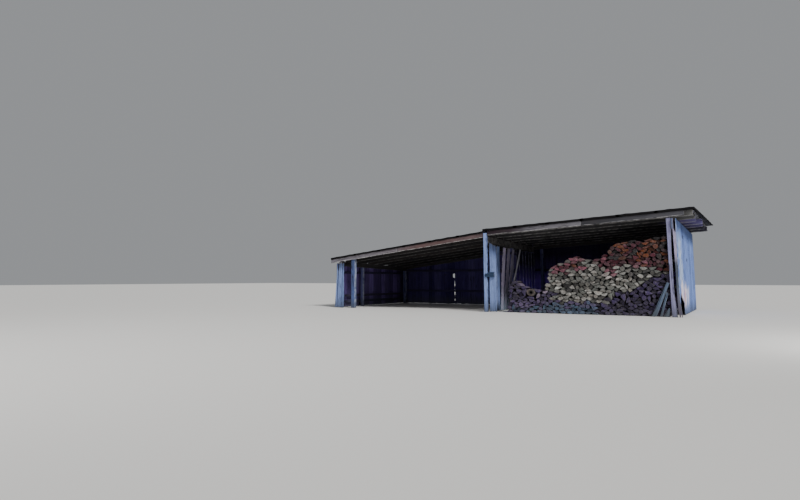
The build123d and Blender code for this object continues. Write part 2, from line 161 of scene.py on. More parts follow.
# growth rings and heart splits round the vector's origin in its first two coordinates
t, given = newGroup("endRings", {"Vector": None, "Spacing": 0.006})
x, y, z = put(t, "SeparateXYZ", {0: given["Vector"]})
flat = put(t, "CombineXYZ", {0: x, 1: y})[0]
radius = put(t, "VectorMath", {0: flat}, operation="LENGTH")["Value"]
bent = plus(t, radius, times(t, noiseOf(t, given["Vector"], 14.0, 3.0), 0.02))
turns = maths(t, "DIVIDE", bent, given["Spacing"])
rings = plus(t, times(t, maths(t, "SINE", times(t, turns, 6.283)), 0.5), 0.5)
angle = maths(t, "ARCTAN2", y, x)
spokes = put(t, "CombineXYZ", {0: times(t, angle, 2.4), 1: times(t, radius, 5.0), 2: z})[0]
offLine = maths(t, "ABSOLUTE", minus(t, noiseOf(t, spokes, 1.6, 2.0, 0.5), 0.5))
splits = remap(t, offLine, 0.0, 0.022, 1.0, 0.0)
endRings = closeGroup(t, {"Rings": rings, "Splits": splits, "Radius": radius})

# wet, dirty foot near the ground
t, given = newGroup("groundDamp", {"Top": 0.35, "Amount": 0.6})
place = put(t, "NewGeometry")["Position"]
lift = put(t, "SeparateXYZ", {0: place})[2]
uneven = times(t, times(t, noiseOf(t, place, 3.5, 4.0), 0.5), given["Top"])
reach = maths(t, "DIVIDE", plus(t, lift, uneven), given["Top"])
groundDamp = closeGroup(t, {"Mask": times(t, remap(t, reach, 0.25, 1.15, 1.0, 0.0), given["Amount"])})

# worn corners and painted edge highlights from the edge attribute, and dust or lichen in patches
t, given = newGroup("wearAndEdgeHighlight", {
    "Edge": 0.0, "Edge Amount": 0.6, "Patch Scale": 3.0, "Patch Amount": 0.3,
})
place = put(t, "NewGeometry")["Position"]
broken = remap(t, noiseOf(t, place, 9.0, 5.0), 0.35, 0.6)
patches = remap(t, noiseOf(t, place, given["Patch Scale"], 7.0, 0.65), 0.5, 0.68)
speckle = remap(t, noiseOf(t, place, 60.0, 3.0), 0.4, 0.62)
wearAndEdgeHighlight = closeGroup(t, {
    "Edges": times(t, times(t, given["Edge"], broken), given["Edge Amount"]),
    "Patches": times(t, times(t, patches, speckle), given["Patch Amount"]),
})

# a soft uneven spot round a fixed place, such as a damp patch, a dark mark, a painted highlight or a painted
# pool of sunlight
t, given = newGroup("placeSpot", {"Centre": None, "Radius": 0.1, "Uneven": 0.4})
place = put(t, "NewGeometry")["Position"]
away = put(t, "VectorMath", {0: place, 1: given["Centre"]}, operation="DISTANCE")["Value"]
rough = times(t, minus(t, noiseOf(t, place, 6.0, 4.0), 0.5), given["Uneven"])
near = plus(t, maths(t, "DIVIDE", away, given["Radius"]), times(t, rough, 4.0))
placeSpot = closeGroup(t, {"Mask": remap(t, near, 0.4, 1.2, 1.0, 0.0)})
print("shader groups made")


def startMaterial(name):
    material = bpy.data.materials.new(name)
    material.use_nodes = True
    return material.node_tree


def finishMaterial(t, colour, roughness, relief, strength, depth, specular=0.5):
    bump = put(t, "Bump", {"Height": relief, "Strength": strength, "Distance": depth})[0]
    fillInputs(t, t.nodes["Principled BSDF"], {
        "Base Color": colour, "Roughness": roughness, "Normal": bump, "Specular IOR Level": specular,
    })


def wearOf(t, v):
    return useGroup(t, wearAndEdgeHighlight, {
        "Edge": attribute(t, "edge"), "Edge Amount": v["edgeAmount"],
        "Patch Scale": v["patchScale"], "Patch Amount": v["patchAmount"],
    })


def ringsOf(t, v):
    return useGroup(t, endRings, {"Vector": attribute(t, "ringPos", "Vector"), "Spacing": v["ringSpacing"]})


def dampOf(t, v):
    return useGroup(t, groundDamp, {"Top": v["dampTop"], "Amount": v["dampAmount"]})["Mask"]


def timber(name, v):
    # sawn or weathered wood; faces marked as inside take the inside colours: less weathered wood, darkened and
    # tinted violet as painted shade
    t = startMaterial(name)
    place = attribute(t, "grainPos", "Vector")
    tone = attribute(t, "tone")
    grain = useGroup(t, woodGrain, {"Vector": place, "Stretch": v["stretch"]})
    faults = useGroup(t, woodFaults, {
        "Vector": place, "Crack Width": v["crackWidth"],
        "Knot Density": v["knotDensity"], "Knot Size": v["knotSize"],
    })
    wearAndLitEdges, damp, rings = wearOf(t, v), dampOf(t, v), ringsOf(t, v)
    mixed = plus(t, times(t, grain["Streaks"], 0.6), times(t, grain["Fine"], 0.4))
    outside = mixColour(t, mixed, v["dark"], v["light"])
    inside = mixColour(t, mixed, v["insideDark"], v["insideLight"])
    endGrain = mixColour(t, rings["Rings"], v["endDark"], v["endLight"])
    layers = [
        (remap(t, tone, 0.0, 1.0, 0.0, v["toneSpread"]), v["toneColour"]),
        (remap(t, tone, 0.0, 1.0, v["toneDarken"], 0.0), rgb(0, 0, 0)),
        (wearAndLitEdges["Patches"], v["patchColour"]),
        (wearAndLitEdges["Edges"], v["edgeColour"]),
        (attribute(t, "endFace"), mixColour(t, rings["Splits"], endGrain, v["crackColour"])),
        (times(t, faults["Knots"], v["knotShow"]), v["knotColour"]),
        (times(t, faults["Cracks"], v["crackShow"]), v["crackColour"]),
        (damp, v["dampColour"]),
    ]
    for centre, radius, uneven, share, paint in v["spots"]:
        spot = useGroup(t, placeSpot, {"Centre": centre, "Radius": radius, "Uneven": uneven})
        layers.append((times(t, spot["Mask"], share), paint))
    # inside faces: the wood's own colour together with painted shade
    colour = overlay(t, mixColour(t, attribute(t, "shelter"), outside, inside), layers)
    roughness = remap(t, grain["Streaks"], 0.0, 1.0, v["roughHigh"], v["roughLow"])
    relief = minus(t, grain["Height"], times(t, faults["Cracks"], 1.4))
    relief = plus(t, relief, times(t, faults["Knots"], 0.5))
    finishMaterial(t, colour, roughness, relief, v["bumpStrength"], v["bumpDepth"], 0.25)


# every timber by the name of its material; the first holds all values and the others change some
woods = {"greyBoard": {
    "light": rgb(158, 182, 244), "dark": rgb(54, 70, 112),
    "insideLight": rgb(88, 84, 124), "insideDark": rgb(36, 33, 58), "stretch": 17.0,
    "toneColour": rgb(128, 146, 192), "toneSpread": 0.55, "toneDarken": 0.35,
    "crackWidth": 0.022, "crackShow": 0.95, "crackColour": rgb(30, 31, 40),
    "knotDensity": 1.6, "knotSize": 0.09, "knotShow": 0.95, "knotColour": rgb(40, 38, 44),
    "edgeAmount": 0.35, "edgeColour": rgb(214, 218, 230),
    "patchScale": 2.4, "patchAmount": 0.35, "patchColour": rgb(92, 100, 104),
    "endLight": rgb(128, 126, 130), "endDark": rgb(74, 72, 78), "ringSpacing": 0.007,
    "dampTop": 0.40, "dampAmount": 0.75, "dampColour": rgb(64, 68, 70),
    "roughLow": 0.78, "roughHigh": 0.95, "bumpStrength": 0.7, "bumpDepth": 0.006, "spots": (),
}}


def wood(name, base, **changes):
    woods[name] = dict(woods[base], **changes)


# spots on the right wall, as y, z, radius, unevenness, share and colour; the pale ones are painted highlights
# and painted sunlight
# small dark marks in two rows on the wall
wallDarkMarks = [(y, z, 0.06, 0.1, 0.9, rgb(34, 32, 44)) for y, z in (
    (1.26, 2.05), (1.34, 2.05), (1.42, 2.05), (2.09, 1.45), (2.17, 1.45), (2.25, 1.45))]
wallSpots = [
    # two pale green-white spots up the wall: painted highlights
    (0.45, 1.80, 0.42, 0.9, 0.35, rgb(214, 226, 220)), (0.60, 1.15, 0.45, 0.9, 0.35, rgb(214, 226, 224)),
    *wallDarkMarks,
    # three pale spots at the foot: a painted pool of sunlight, with a pink spot among them
    (0.70, 0.52, 0.36, 0.6, 0.75, rgb(240, 222, 222)), (1.40, 0.50, 0.34, 0.6, 0.75, rgb(240, 224, 224)),
    (2.05, 0.48, 0.30, 0.6, 0.55, rgb(226, 220, 226)), (1.20, 0.50, 0.16, 0.5, 0.75, rgb(168, 92, 96)),
]
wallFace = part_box("right_wall_boards")[1][0]
wood("wallBoard", "greyBoard", light=rgb(154, 190, 255), dark=rgb(52, 76, 172), toneSpread=0.3,
     toneDarken=0.6, crackWidth=0.035, spots=[((wallFace, y, z), *spot) for y, z, *spot in wallSpots])
# boards seen from inside; a damp blue-green patch low on the back wall
wood("innerBoard", "greyBoard", light=rgb(142, 160, 208), dark=rgb(52, 62, 96),
     insideLight=rgb(84, 70, 150), insideDark=rgb(28, 20, 66), toneColour=rgb(92, 84, 124),
     toneSpread=0.6, toneDarken=0.5, patchColour=rgb(74, 72, 78),
     spots=(((-0.7, 4.3, 0.2), 0.8, 0.5, 0.5, rgb(40, 76, 88)),))
# the right bay's back boards: violet, and nearly black up high where backShade paints shade
wood("backBoard", "innerBoard", insideLight=rgb(180, 150, 255), insideDark=rgb(84, 64, 168),
     toneColour=rgb(150, 104, 255), toneDarken=0.97)
# the leaning boards' near-white colour is partly painted light
wood("leanBoard", "innerBoard", light=rgb(238, 228, 255), dark=rgb(72, 66, 120),
     toneColour=rgb(222, 208, 236), toneDarken=0.85, dampTop=0.9, dampAmount=0.6,
     dampColour=rgb(60, 104, 112), edgeAmount=0.95, edgeColour=rgb(16, 14, 30))
wood("postTimber", "greyBoard", light=rgb(100, 123, 186), dark=rgb(40, 52, 86),
     insideLight=rgb(104, 92, 152), insideDark=rgb(42, 36, 74), toneColour=rgb(92, 104, 144),
     crackWidth=0.03, knotDensity=2.2, knotSize=0.12, bumpDepth=0.008)
wood("rightPostTimber", "postTimber", light=rgb(176, 178, 222), dark=rgb(72, 70, 100),
     toneColour=rgb(176, 160, 198))
# the beams' own dark colour, darkened further as painted shade under the roof
wood("beamTimber", "greyBoard", light=rgb(76, 74, 76), dark=rgb(34, 32, 34), insideLight=rgb(70, 66, 66),
     insideDark=rgb(30, 28, 29), toneColour=rgb(62, 56, 54), toneSpread=0.5, patchColour=rgb(60, 58, 56),
     edgeColour=rgb(138, 138, 138), edgeAmount=0.5)
wood("railTimber", "beamTimber", light=rgb(70, 62, 112), dark=rgb(28, 24, 50),
     insideLight=rgb(70, 62, 112), insideDark=rgb(28, 24, 50), edgeAmount=0.1)
# darker still under the left bay: painted shade under the roof
wood("leftRafterTimber", "beamTimber", light=rgb(54, 52, 55), dark=rgb(17, 16, 18),
     edgeColour=rgb(144, 142, 140), edgeAmount=0.4)
# tails that stand out past the right wall are paler: grey in front, violet behind
wood("greyTail", "leftRafterTimber", light=rgb(66, 64, 66), dark=rgb(22, 21, 23), edgeAmount=0.7,
     toneColour=rgb(108, 108, 106), toneSpread=0.6, toneDarken=0.0)
wood("violetTail", "greyTail", toneColour=rgb(112, 102, 152), toneSpread=0.85)
# boards with dark seams, out in the light and on the sheltered side
wood("seamBoard", "greyBoard", edgeColour=rgb(24, 28, 52), edgeAmount=0.95, toneDarken=0.8,
     toneSpread=0.3)
wood("shelteredBoard", "seamBoard", insideLight=rgb(150, 122, 206), insideDark=rgb(46, 38, 92),
     toneColour=rgb(112, 96, 140), toneDarken=0.9, edgeColour=rgb(14, 10, 26))
# the roof's edge boards and deck
wood("edgeBoard", "greyBoard", light=rgb(144, 141, 150), dark=rgb(56, 53, 58),
     insideLight=rgb(110, 98, 88), insideDark=rgb(60, 52, 46), toneColour=rgb(84, 52, 44),
     toneSpread=0.85, toneDarken=0.0, patchAmount=0.6, patchColour=rgb(70, 64, 62),
     edgeColour=rgb(216, 214, 212), edgeAmount=0.7)
wood("darkEdgeBoard", "edgeBoard", light=rgb(50, 32, 42), dark=rgb(15, 9, 14),
     toneColour=rgb(112, 110, 116), toneSpread=0.9, edgeAmount=0.55)
wood("oldEdgeBoard", "edgeBoard", light=rgb(48, 46, 50), dark=rgb(15, 14, 16),
     toneColour=rgb(112, 112, 120), toneSpread=0.5, edgeColour=rgb(176, 174, 176))
wood("redBoard", "edgeBoard", light=rgb(52, 26, 34), dark=rgb(26, 14, 20), toneSpread=0.2, edgeAmount=0.2)
wood("deckBoard", "greyBoard", light=rgb(146, 146, 150), dark=rgb(58, 56, 60),
     insideLight=rgb(110, 106, 108), insideDark=rgb(48, 44, 48), toneColour=rgb(96, 88, 98),
     toneSpread=0.6)
wood("cleatBoard", "greyBoard", light=rgb(50, 70, 100), dark=rgb(23, 33, 51),
     toneColour=rgb(112, 118, 148), toneSpread=0.6, toneDarken=0.0, edgeAmount=0.0, patchAmount=0.0)
wood("trimBoard", "greyBoard", light=rgb(74, 88, 100), dark=rgb(26, 34, 42),
     toneColour=rgb(164, 155, 184), toneSpread=0.9, toneDarken=0.0, dampTop=0.55, dampAmount=0.8,
     dampColour=rgb(74, 62, 70))
wood("plankBoard", "greyBoard", light=rgb(106, 120, 148), dark=rgb(40, 48, 62),
     toneColour=rgb(80, 96, 112), toneSpread=0.5)
wood("stickTimber", "greyBoard", light=rgb(250, 246, 255), dark=rgb(196, 190, 196), toneSpread=0.1,
     toneDarken=0.0)

for name, values in woods.items():
    timber(name, values)
print("timber materials made")


# geometry helpers
def solidsOf(node):
    # the separate solids of a CAD node, each as its corner points
    mesh = nodes[node].data
    points = np.array([v.co[:] for v in mesh.vertices])
    unique, index = np.unique(np.round(points, 4), axis=0, return_inverse=True)
    index = index.reshape(-1)
    parent = list(range(len(unique)))

    def root(i):
        while parent[i] != i:
            parent[i] = parent[parent[i]]
            i = parent[i]
        return i

    for polygon in mesh.polygons:
        first = root(int(index[polygon.vertices[0]]))
        for v in polygon.vertices[1:]:
            parent[root(int(index[v]))] = first
    groups = {}
    for i, point in enumerate(unique):
        groups.setdefault(root(i), []).append(point)
    return sorted(map(np.array, groups.values()), key=lambda g: tuple(np.round(g.min(axis=0), 3)))


def cornersOf(points, run):
    # eight corners as [start or end][low or high across][low or high out]
    along, across = ("xyz".index(c) for c in run)
    out = 3 - along - across
    order = points[np.argsort(points[:, along], kind="stable")]
    half = len(order) // 2
    corners = np.zeros((2, 2, 2, 3))
    for a, end in enumerate((order[:half], order[-half:])):
        end = end[np.argsort(end[:, across], kind="stable")]
        for b, pair in enumerate((end[:2], end[-2:])):
            pair = pair[np.argsort(pair[:, out], kind="stable")]
            corners[a, b, 0], corners[a, b, 1] = pair[0], pair[-1]
    return corners


def boxCorners(low, high, run):
    x, y, z = zip(low, high)
    return cornersOf(np.array([[a, b, c] for a in x for b in y for c in z]), run)


def partOf(corners, start, end):
    # the part of a block between two shares of its width
    low, high = corners[:, :1], corners[:, 1:]
    return np.concatenate([low * (1 - start) + high * start, low * (1 - end) + high * end], axis=1)


def edgeVectors(corners):
    # how a block runs: along, across and out
    ends = [[corners.take(end, axis).mean(axis=(0, 1)) for end in (0, 1)] for axis in range(3)]
    return [far - near for near, far in ends]


def blend(corners, s, u, v):
    total = 0
    for a, ws in enumerate((1 - s, s)):
        for b, wu in enumerate((1 - u, u)):
            for c, wv in enumerate((1 - v, v)):
                total = total + corners[a, b, c] * (ws * wu * wv)[..., None]
    return total


def wave(rng, count=4, base=0.7):
    # a smooth line that wanders between -1 and 1
    parts = []
    for k in range(1, count + 1):
        parts.append((rng.uniform(0.5, 1.0) / k, base * k * rng.uniform(0.7, 1.3), rng.uniform(0, 6.28)))
    top = sum(part[0] for part in parts)
    return lambda at: sum(a * np.sin(f * 6.28 * at + p) for a, f, p in parts) / top


def half(values):
    # a wave's -1..1 as 0..1
    return 0.5 + 0.5 * values


def graded(at, values):
    return lambda metres: np.interp(metres, at, values)


# what a piece's mesh carries for its materials
vectorPoint, valuePoint, valueFace = (
    ("FLOAT_VECTOR", "POINT", "vector"), ("FLOAT", "POINT", "value"), ("FLOAT", "FACE", "value"))
meshData = {
    "grainPos": vectorPoint, "ringPos": vectorPoint, "tint": vectorPoint,
    "tone": valuePoint, "edge": valuePoint, "endFace": valueFace, "shelter": valueFace,
}


def newBatch():
    return dict({key: [] for key in ("points", "faces", "material", *meshData)}, count=0)


def addFaces(batch, faces, material=0, endFace=0.0, shelter=0.0):
    batch["faces"].extend(faces)
    for key, value in (("material", material), ("endFace", endFace), ("shelter", shelter)):
        batch[key].extend([value] * len(faces))


def addPoints(batch, points, grainPos, ringPos, tone, edge):
    count = points.size // 3
    for key, values in (("points", points), ("grainPos", grainPos), ("ringPos", ringPos)):
        batch[key].append(values.reshape(-1, 3))
    batch["tone"].append(np.ones(count) * np.ravel(tone))
    batch["edge"].append(np.ravel(edge))
    batch["count"] += count
    return batch["count"] - count


def bothSides(values):
    return np.repeat(values[..., None], 2, axis=2)


def quads(*corners):
    return np.stack(corners, axis=-1).reshape(-1, 4).tolist()


def gridFaces(base, rows, columns, flip):
    # faces of a thick sheet: its low side, its high side, its long sides and its ends
    g = base + np.arange(rows * columns * 2).reshape(rows, columns, 2)
    a, b, c, d = g[:-1, :-1], g[:-1, 1:], g[1:, 1:], g[1:, :-1]
    low = quads(a[..., 0], b[..., 0], c[..., 0], d[..., 0])
    high = quads(a[..., 1], d[..., 1], c[..., 1], b[..., 1])
    sides = quads(g[:-1, 0, 0], g[1:, 0, 0], g[1:, 0, 1], g[:-1, 0, 1])
    sides += quads(g[:-1, -1, 1], g[1:, -1, 1], g[1:, -1, 0], g[:-1, -1, 0])
    ends = quads(g[0, :-1, 1], g[0, 1:, 1], g[0, 1:, 0], g[0, :-1, 0])
    ends += quads(g[-1, :-1, 0], g[-1, 1:, 0], g[-1, 1:, 1], g[-1, :-1, 1])
    return [[face[::-1] for face in faces] if flip else faces for faces in (low, high, sides, ends)]


boardLook = {
    "step": 0.45, "columns": 3, "chamfer": 0.004, "thin": 0.04, "grow": 0.0, "wave": 0.003, "bow": 0.06,
    "ragStart": 0.004, "ragEnd": 0.006, "teeth": 3.0, "startCut": None, "endCut": None, "sideCut": None,
    "material": 0, "shelter": (0.0, 0.0), "tone": (0.0, 1.0), "toneAlong": None, "lowHighlight": 0.0,
}


def addBoard(batch, corners, look, seed):
    # one board or timber fitted into eight corners, with its own wander, bow, worn corners and rough ends
    v = dict(boardLook, **look)
    rng = random.Random(seed)
    vectors = edgeVectors(corners)
    long, wide, thick = (np.linalg.norm(vector) for vector in vectors)
    chamfer = min(v["chamfer"], thick * 0.3, wide * 0.3)
    rows = max(2, int(round(long / v["step"])))
    s = np.concatenate([[0.0], np.linspace(chamfer / long, 1 - chamfer / long, rows + 1), [1.0]])
    u = np.concatenate([[0.0], np.linspace(chamfer / wide, 1 - chamfer / wide, v["columns"] + 1), [1.0]])
    s, u = np.meshgrid(s, u, indexing="ij")
    rim = ((s == 0) | (s == 1) | (u == 0) | (u == 1)).astype(float)
    lowSide, highSide, bow, twist = wave(rng), wave(rng), wave(rng, 2, 0.25), rng.uniform(-1, 1)
    metres = s * long
    shiftLow, shiftHigh = (v["wave"] * half(side(metres)) - v["grow"] for side in (lowSide, highSide))
    if v["sideCut"]:
        cutLow, cutHigh = v["sideCut"](metres)
        shiftLow, shiftHigh = shiftLow + cutLow, shiftHigh + cutHigh
    startRag, endRag = wave(rng, 5, v["teeth"]), wave(rng, 5, v["teeth"])
    start, end = v["ragStart"] * half(startRag(u)), v["ragEnd"] * half(endRag(u))
    if v["startCut"]:
        start = start + v["startCut"](u)
    if v["endCut"]:
        end = end + v["endCut"](u)
    sNew = (start + s * (long - start - end)) / long
    uNew = (u * wide + (1 - u) * shiftLow - u * shiftHigh) / wide
    lean = v["bow"] * (0.6 * bow(metres) + 0.4 * twist * (u - 0.5) * 2 * np.cos(3.14 * s))
    room = v["thin"] + abs(v["bow"]) + (chamfer / thick) * rim
    points = np.stack([blend(corners, sNew, uNew, high + lean) for high in (room, 1 - room)], axis=2)
    shift = np.array([rng.uniform(0, 40), rng.uniform(0, 40), rng.uniform(0, 40)])
    out = np.zeros_like(points[..., 0]) + (0.0, thick)
    grainPos = np.stack([bothSides(metres), bothSides(u * wide), out], axis=-1) + shift
    heart = (wide * rng.uniform(0.1, 0.9), rng.uniform(-0.08, 0.0), rng.uniform(0, 20))
    ringPos = np.stack([bothSides(u * wide) - heart[0], out + heart[1], 0 * out + heart[2]], axis=-1)
    # a low band across the board is marked like a rim, so it takes the edge colour as a painted highlight
    edge = bothSides(np.maximum(rim, u < v["lowHighlight"]))
    tone = rng.uniform(*v["tone"])
    if v["toneAlong"]:
        tone = bothSides(v["toneAlong"](metres))
    base = addPoints(batch, points, grainPos, ringPos, tone, edge)
    low, high, sides, ends = gridFaces(base, *s.shape, np.linalg.det(np.stack(vectors)) < 0)
    addFaces(batch, low, v["material"], shelter=v["shelter"][0])
    addFaces(batch, high, v["material"], shelter=v["shelter"][1])
    addFaces(batch, sides, v["material"], shelter=sum(v["shelter"]) / 2)
    addFaces(batch, ends, v["material"], endFace=1.0, shelter=0.5)


firewoodNodes = ("log_heap", "log_stack")


def finishPiece(batch, node, *materials):
    first, *rest = node.split("_")
    name = first + "".join(word.capitalize() for word in rest)
    mesh = bpy.data.meshes.new(name)
    # no point may leave the room that the CAD node takes up; the heap and the stack share theirs
    room = firewoodNodes if node in firewoodNodes else (node,)
    low = np.min([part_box(part)[0] for part in room], axis=0)
    high = np.max([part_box(part)[1] for part in room], axis=0)
    points = np.clip(np.concatenate(batch["points"]), low, high)
    mesh.from_pydata(points.tolist(), [], batch["faces"])
    for material in materials:
        mesh.materials.append(bpy.data.materials[material])
    mesh.polygons.foreach_set("material_index", batch["material"])
    for key, (kind, domain, field) in meshData.items():
        if batch[key]:
            values = np.concatenate(batch[key]) if domain == "POINT" else np.array(batch[key])
            data = mesh.attributes.new(key, kind, domain).data
            data.foreach_set(field, values.astype(np.float32).ravel())
    mesh.update()
    piece = bpy.data.objects.new(name, mesh)
    bpy.context.scene.collection.objects.link(piece)
    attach(piece, "root")
    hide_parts(node)
    return piece


def buildBoards(node, run, look, *materials, parts=None):
    # every solid of the node becomes one board that runs along run[0] and is wide along run[1]
    batch = newBatch()
    look = dict(look)
    special = look.pop("special", lambda i, part: {})
    for i, part in enumerate(parts or solidsOf(node)):
        extra = special(i, part)
        corners = extra.pop("corners") if "corners" in extra else cornersOf(part, run)
        addBoard(batch, corners, dict(look, **extra), node + str(i))
    finishPiece(batch, node, *materials)


# left end
# the seam between the two corner boards opens upwards, and both are painted dark with shade right under the
# roof
corner = {
    "heights": (0.0, 1.1, 1.45), "cut": (0.006, 0.010, 0.030), "below": (0.22, 0.08),
    "tone": 0.95, "toneStep": 0.12, "topTone": 0.1,
}


def cornerBoard(i, solid):
    cut = graded(corner["heights"], corner["cut"])
    shadeAt = [np.ptp(solid[:, 2]) - below for below in corner["below"]]
    return {
        "sideCut": lambda z: (cut(z), 0.0) if i else (0.0, cut(z)),
        "toneAlong": graded(shadeAt, (corner["tone"] - corner["toneStep"] * i, corner["topTone"])),
    }


cornerBoards = {
    "wave": 0.005, "bow": 0.05, "ragStart": 0.03, "ragEnd": 0.06, "teeth": 1.5, "columns": 5, "step": 0.12,
    "special": cornerBoard,
}
buildBoards("left_corner_boards", "zx", cornerBoards, "seamBoard")

squarePost = {
    "chamfer": 0.010, "wave": 0.007, "bow": 0.02, "columns": 2, "step": 0.3, "ragStart": 0.0,
    "ragEnd": 0.0,
}
for post in ("left_corner_post", "left_front_post"):
    buildBoards(post, "zx", squarePost, "postTimber")
innerPosts = "left_mid left_back partition_mid partition_back right_mid right_back back_wall"
for post in innerPosts.split():
    buildBoards(post + "_post", "zx", dict(squarePost, shelter=(1.0, 1.0)), "postTimber")

# the left beam is hewn lower between the rafters, so that light shows over the end wall
beam = {"chamfer": 0.008, "wave": 0.008, "bow": 0.02, "columns": 2, "ragStart": 0.0, "ragEnd": 0.0}
hewn = {"seat": 0.055, "deep": 0.024}
rafterYs = [solid[:, 1].mean() for solid in solidsOf("left_rafters")]


def headerCut(metres):
    nearest = np.min([np.abs(metres - y) for y in rafterYs], axis=0)
    return 0.0, np.where(nearest > hewn["seat"], hewn["deep"], 0.0)


buildBoards("left_header", "yz", dict(beam, sideCut=headerCut, step=0.06), "beamTimber")
rail = {"chamfer": 0.006, "wave": 0.006, "bow": 0.03, "columns": 2, "step": 0.4}
buildBoards("left_girts", "yz", rail, "railTimber")

# every third board is paler
leftWall = {
    "wave": 0.005, "grow": 0.008, "bow": 0.08, "ragStart": 0.03, "ragEnd": 0.07, "columns": 5,
    "shelter": (0.0, 1.0), "special": lambda i, solid: {"tone": (0.8, 1.0) if i % 3 == 1 else (0.2, 0.5)},
}
buildBoards("left_wall_boards", "zy", leftWall, "shelteredBoard")

# middle
# the post's rims take the dark seam colour as painted shade along its corners
buildBoards("middle_post", "zx", dict(squarePost, chamfer=0.008, tone=(0.92, 0.98)), "seamBoard")
# the board stands clear of the post higher up and is painted dark with shade under the eave
gapBeside = graded((0.0, 0.9, 1.2, 2.0), (0.0, 0.004, 0.028, 0.032))
frontBoard = {
    "wave": 0.004, "bow": 0.05, "ragStart": 0.03, "ragEnd": 0.02, "columns": 6, "step": 0.15,
    "sideCut": lambda z: (gapBeside(z), 0.0), "toneAlong": graded((1.55, 1.85), (0.8, 0.0)),
}
buildBoards("middle_front_board", "zx", frontBoard, "seamBoard")

# the cleat has a thick block on the board and a thin neck over the post
cleat = {
    "neck": 0.37, "thin": 0.42, "neckLow": 0.10, "neckHigh": 0.66, "neckDrop": 0.03, "overlap": (0.01, 0.02),
}
low, high = (np.array(c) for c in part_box("cross_cleat"))
size = high - low
neckEnd = low[0] + size[0] * cleat["neck"]
neckFoot = low + (0, 0, size[2] * cleat["neckLow"])
neckTop = low + size * (cleat["neck"], cleat["thin"], cleat["neckHigh"]) + (cleat["overlap"][1], 0, 0)
neck = boxCorners(neckFoot, neckTop, "xz")
neck[1, 1, :, 2] = high[2] - cleat["neckDrop"]
block = boxCorners((neckEnd - cleat["overlap"][0], low[1], low[2]), high, "xz")
batch = newBatch()
chopped = {"step": 0.05, "tone": (0.0, 0.0)}
addBoard(batch, neck, dict(chopped, ragStart=0.01, ragEnd=0.0, wave=0.008), "cleatNeck")
addBoard(batch, block, dict(chopped, ragStart=0.03, ragEnd=0.02, wave=0.012, chamfer=0.008), "cleatBlock")
finishPiece(batch, "cross_cleat", "cleatBoard")
buildBoards("partition_header", "yx", beam, "leftRafterTimber")
buildBoards("partition_girts", "yz", rail, "railTimber")

# the back of the right bay is violet low down and painted black with shade under the roof
backShade = graded((0.8, 1.45), (1.0, 0.02))
# five boards lean, of which the first two are grey; the rest stand upright in the dark and take the back wall's
# painted shade
leaning = {"grey": 2, "count": 5, "tones": ((0.5, 0.6), (0.6, 0.7), (0.9, 1.0))}


def partitionBoard(i, solid):
    inDark = i >= leaning["count"]
    return {
        "tone": leaning["tones"][i % 3], "material": 1 if i < leaning["grey"] else 2 * inDark,
        "shelter": (1.0, float(inDark)), "toneAlong": backShade if inDark else None,
    }


partition = {
    "wave": 0.040, "bow": 0.07, "ragStart": 0.03, "ragEnd": 0.07, "columns": 5, "teeth": 2.0, "step": 0.2,
    "special": partitionBoard,
}
buildBoards("partition_boards", "zy", partition, "leanBoard", "greyBoard", "backBoard")
stick = {"chamfer": 0.012, "wave": 0.004, "bow": 0.05, "columns": 2, "step": 0.2}
buildBoards("leaning_stick", "zy", stick, "stickTimber")

# right end
postWear = graded((0.0, 0.12, 0.5, 1.6, 2.2), (0.0, 0.0, 0.034, 0.03, 0.0))
frontPost = dict(squarePost, wave=0.004, step=0.15, sideCut=lambda z: (0.0, postWear(z)))
buildBoards("right_front_post", "zx", frontPost, "rightPostTimber")
buildBoards("right_header", "yx", beam, "beamTimber")
buildBoards("right_girts", "yz", rail, "railTimber")

# the trim is narrow at the top and runs out wide and torn at the foot
trim = {
    "heights": (0.0, 0.25, 0.45, 0.666, 2.12, 2.15, 2.44), "cutLow": 0.034, "torn": 0.24,
    "cutHigh": (0.042, 0.066, 0.090, 0.105, 0.105, 0.152, 0.152),
    "toneAt": (0.0, 0.5, 0.75, 1.3, 1.5), "tones": (0.2, 0.25, 0.05, 0.1, 1.0),
}


def trimSides(z):
    return trim["cutLow"] * (1 - z / trim["heights"][-1]), np.interp(z, trim["heights"], trim["cutHigh"])


def trimFoot(u):
    # two waves across the board make tears of uneven depth
    return trim["torn"] * np.maximum(0.0, np.sin(u * 12.0 + 0.2) + 0.5 * np.sin(u * 25.0)) * (0.4 + 0.3 * u)


batch = newBatch()
addBoard(batch, boxCorners(*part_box("right_trim_board"), "zx"), {
    "wave": 0.004, "ragStart": 0.01, "ragEnd": 0.02, "columns": 20, "step": 0.05, "teeth": 4.0,
    "toneAlong": graded(trim["toneAt"], trim["tones"]), "sideCut": trimSides, "startCut": trimFoot,
}, "trim")
finishPiece(batch, "right_trim_board", "trimBoard")
topCleat = {
    "wave": 0.004, "ragStart": 0.012, "ragEnd": 0.008, "step": 0.1, "tone": (0.8, 1.0),
    "sideCut": lambda z: (0.0, 0.048),
}
buildBoards("right_top_cleat", "zx", topCleat, "cleatBoard")

# the wall's boards darken up to the eave with painted shade; their feet are rotted off, and a strip of the
# first still stands
rottedFoot = {
    "high": 0.56, "slope": 0.35, "strip": (0.02, 0.11), "spike": 0.25, "ragged": 0.07, "past": 0.13,
    "clear": 0.05,
}
eaveShade = {"from": 0.4, "to": 0.12}


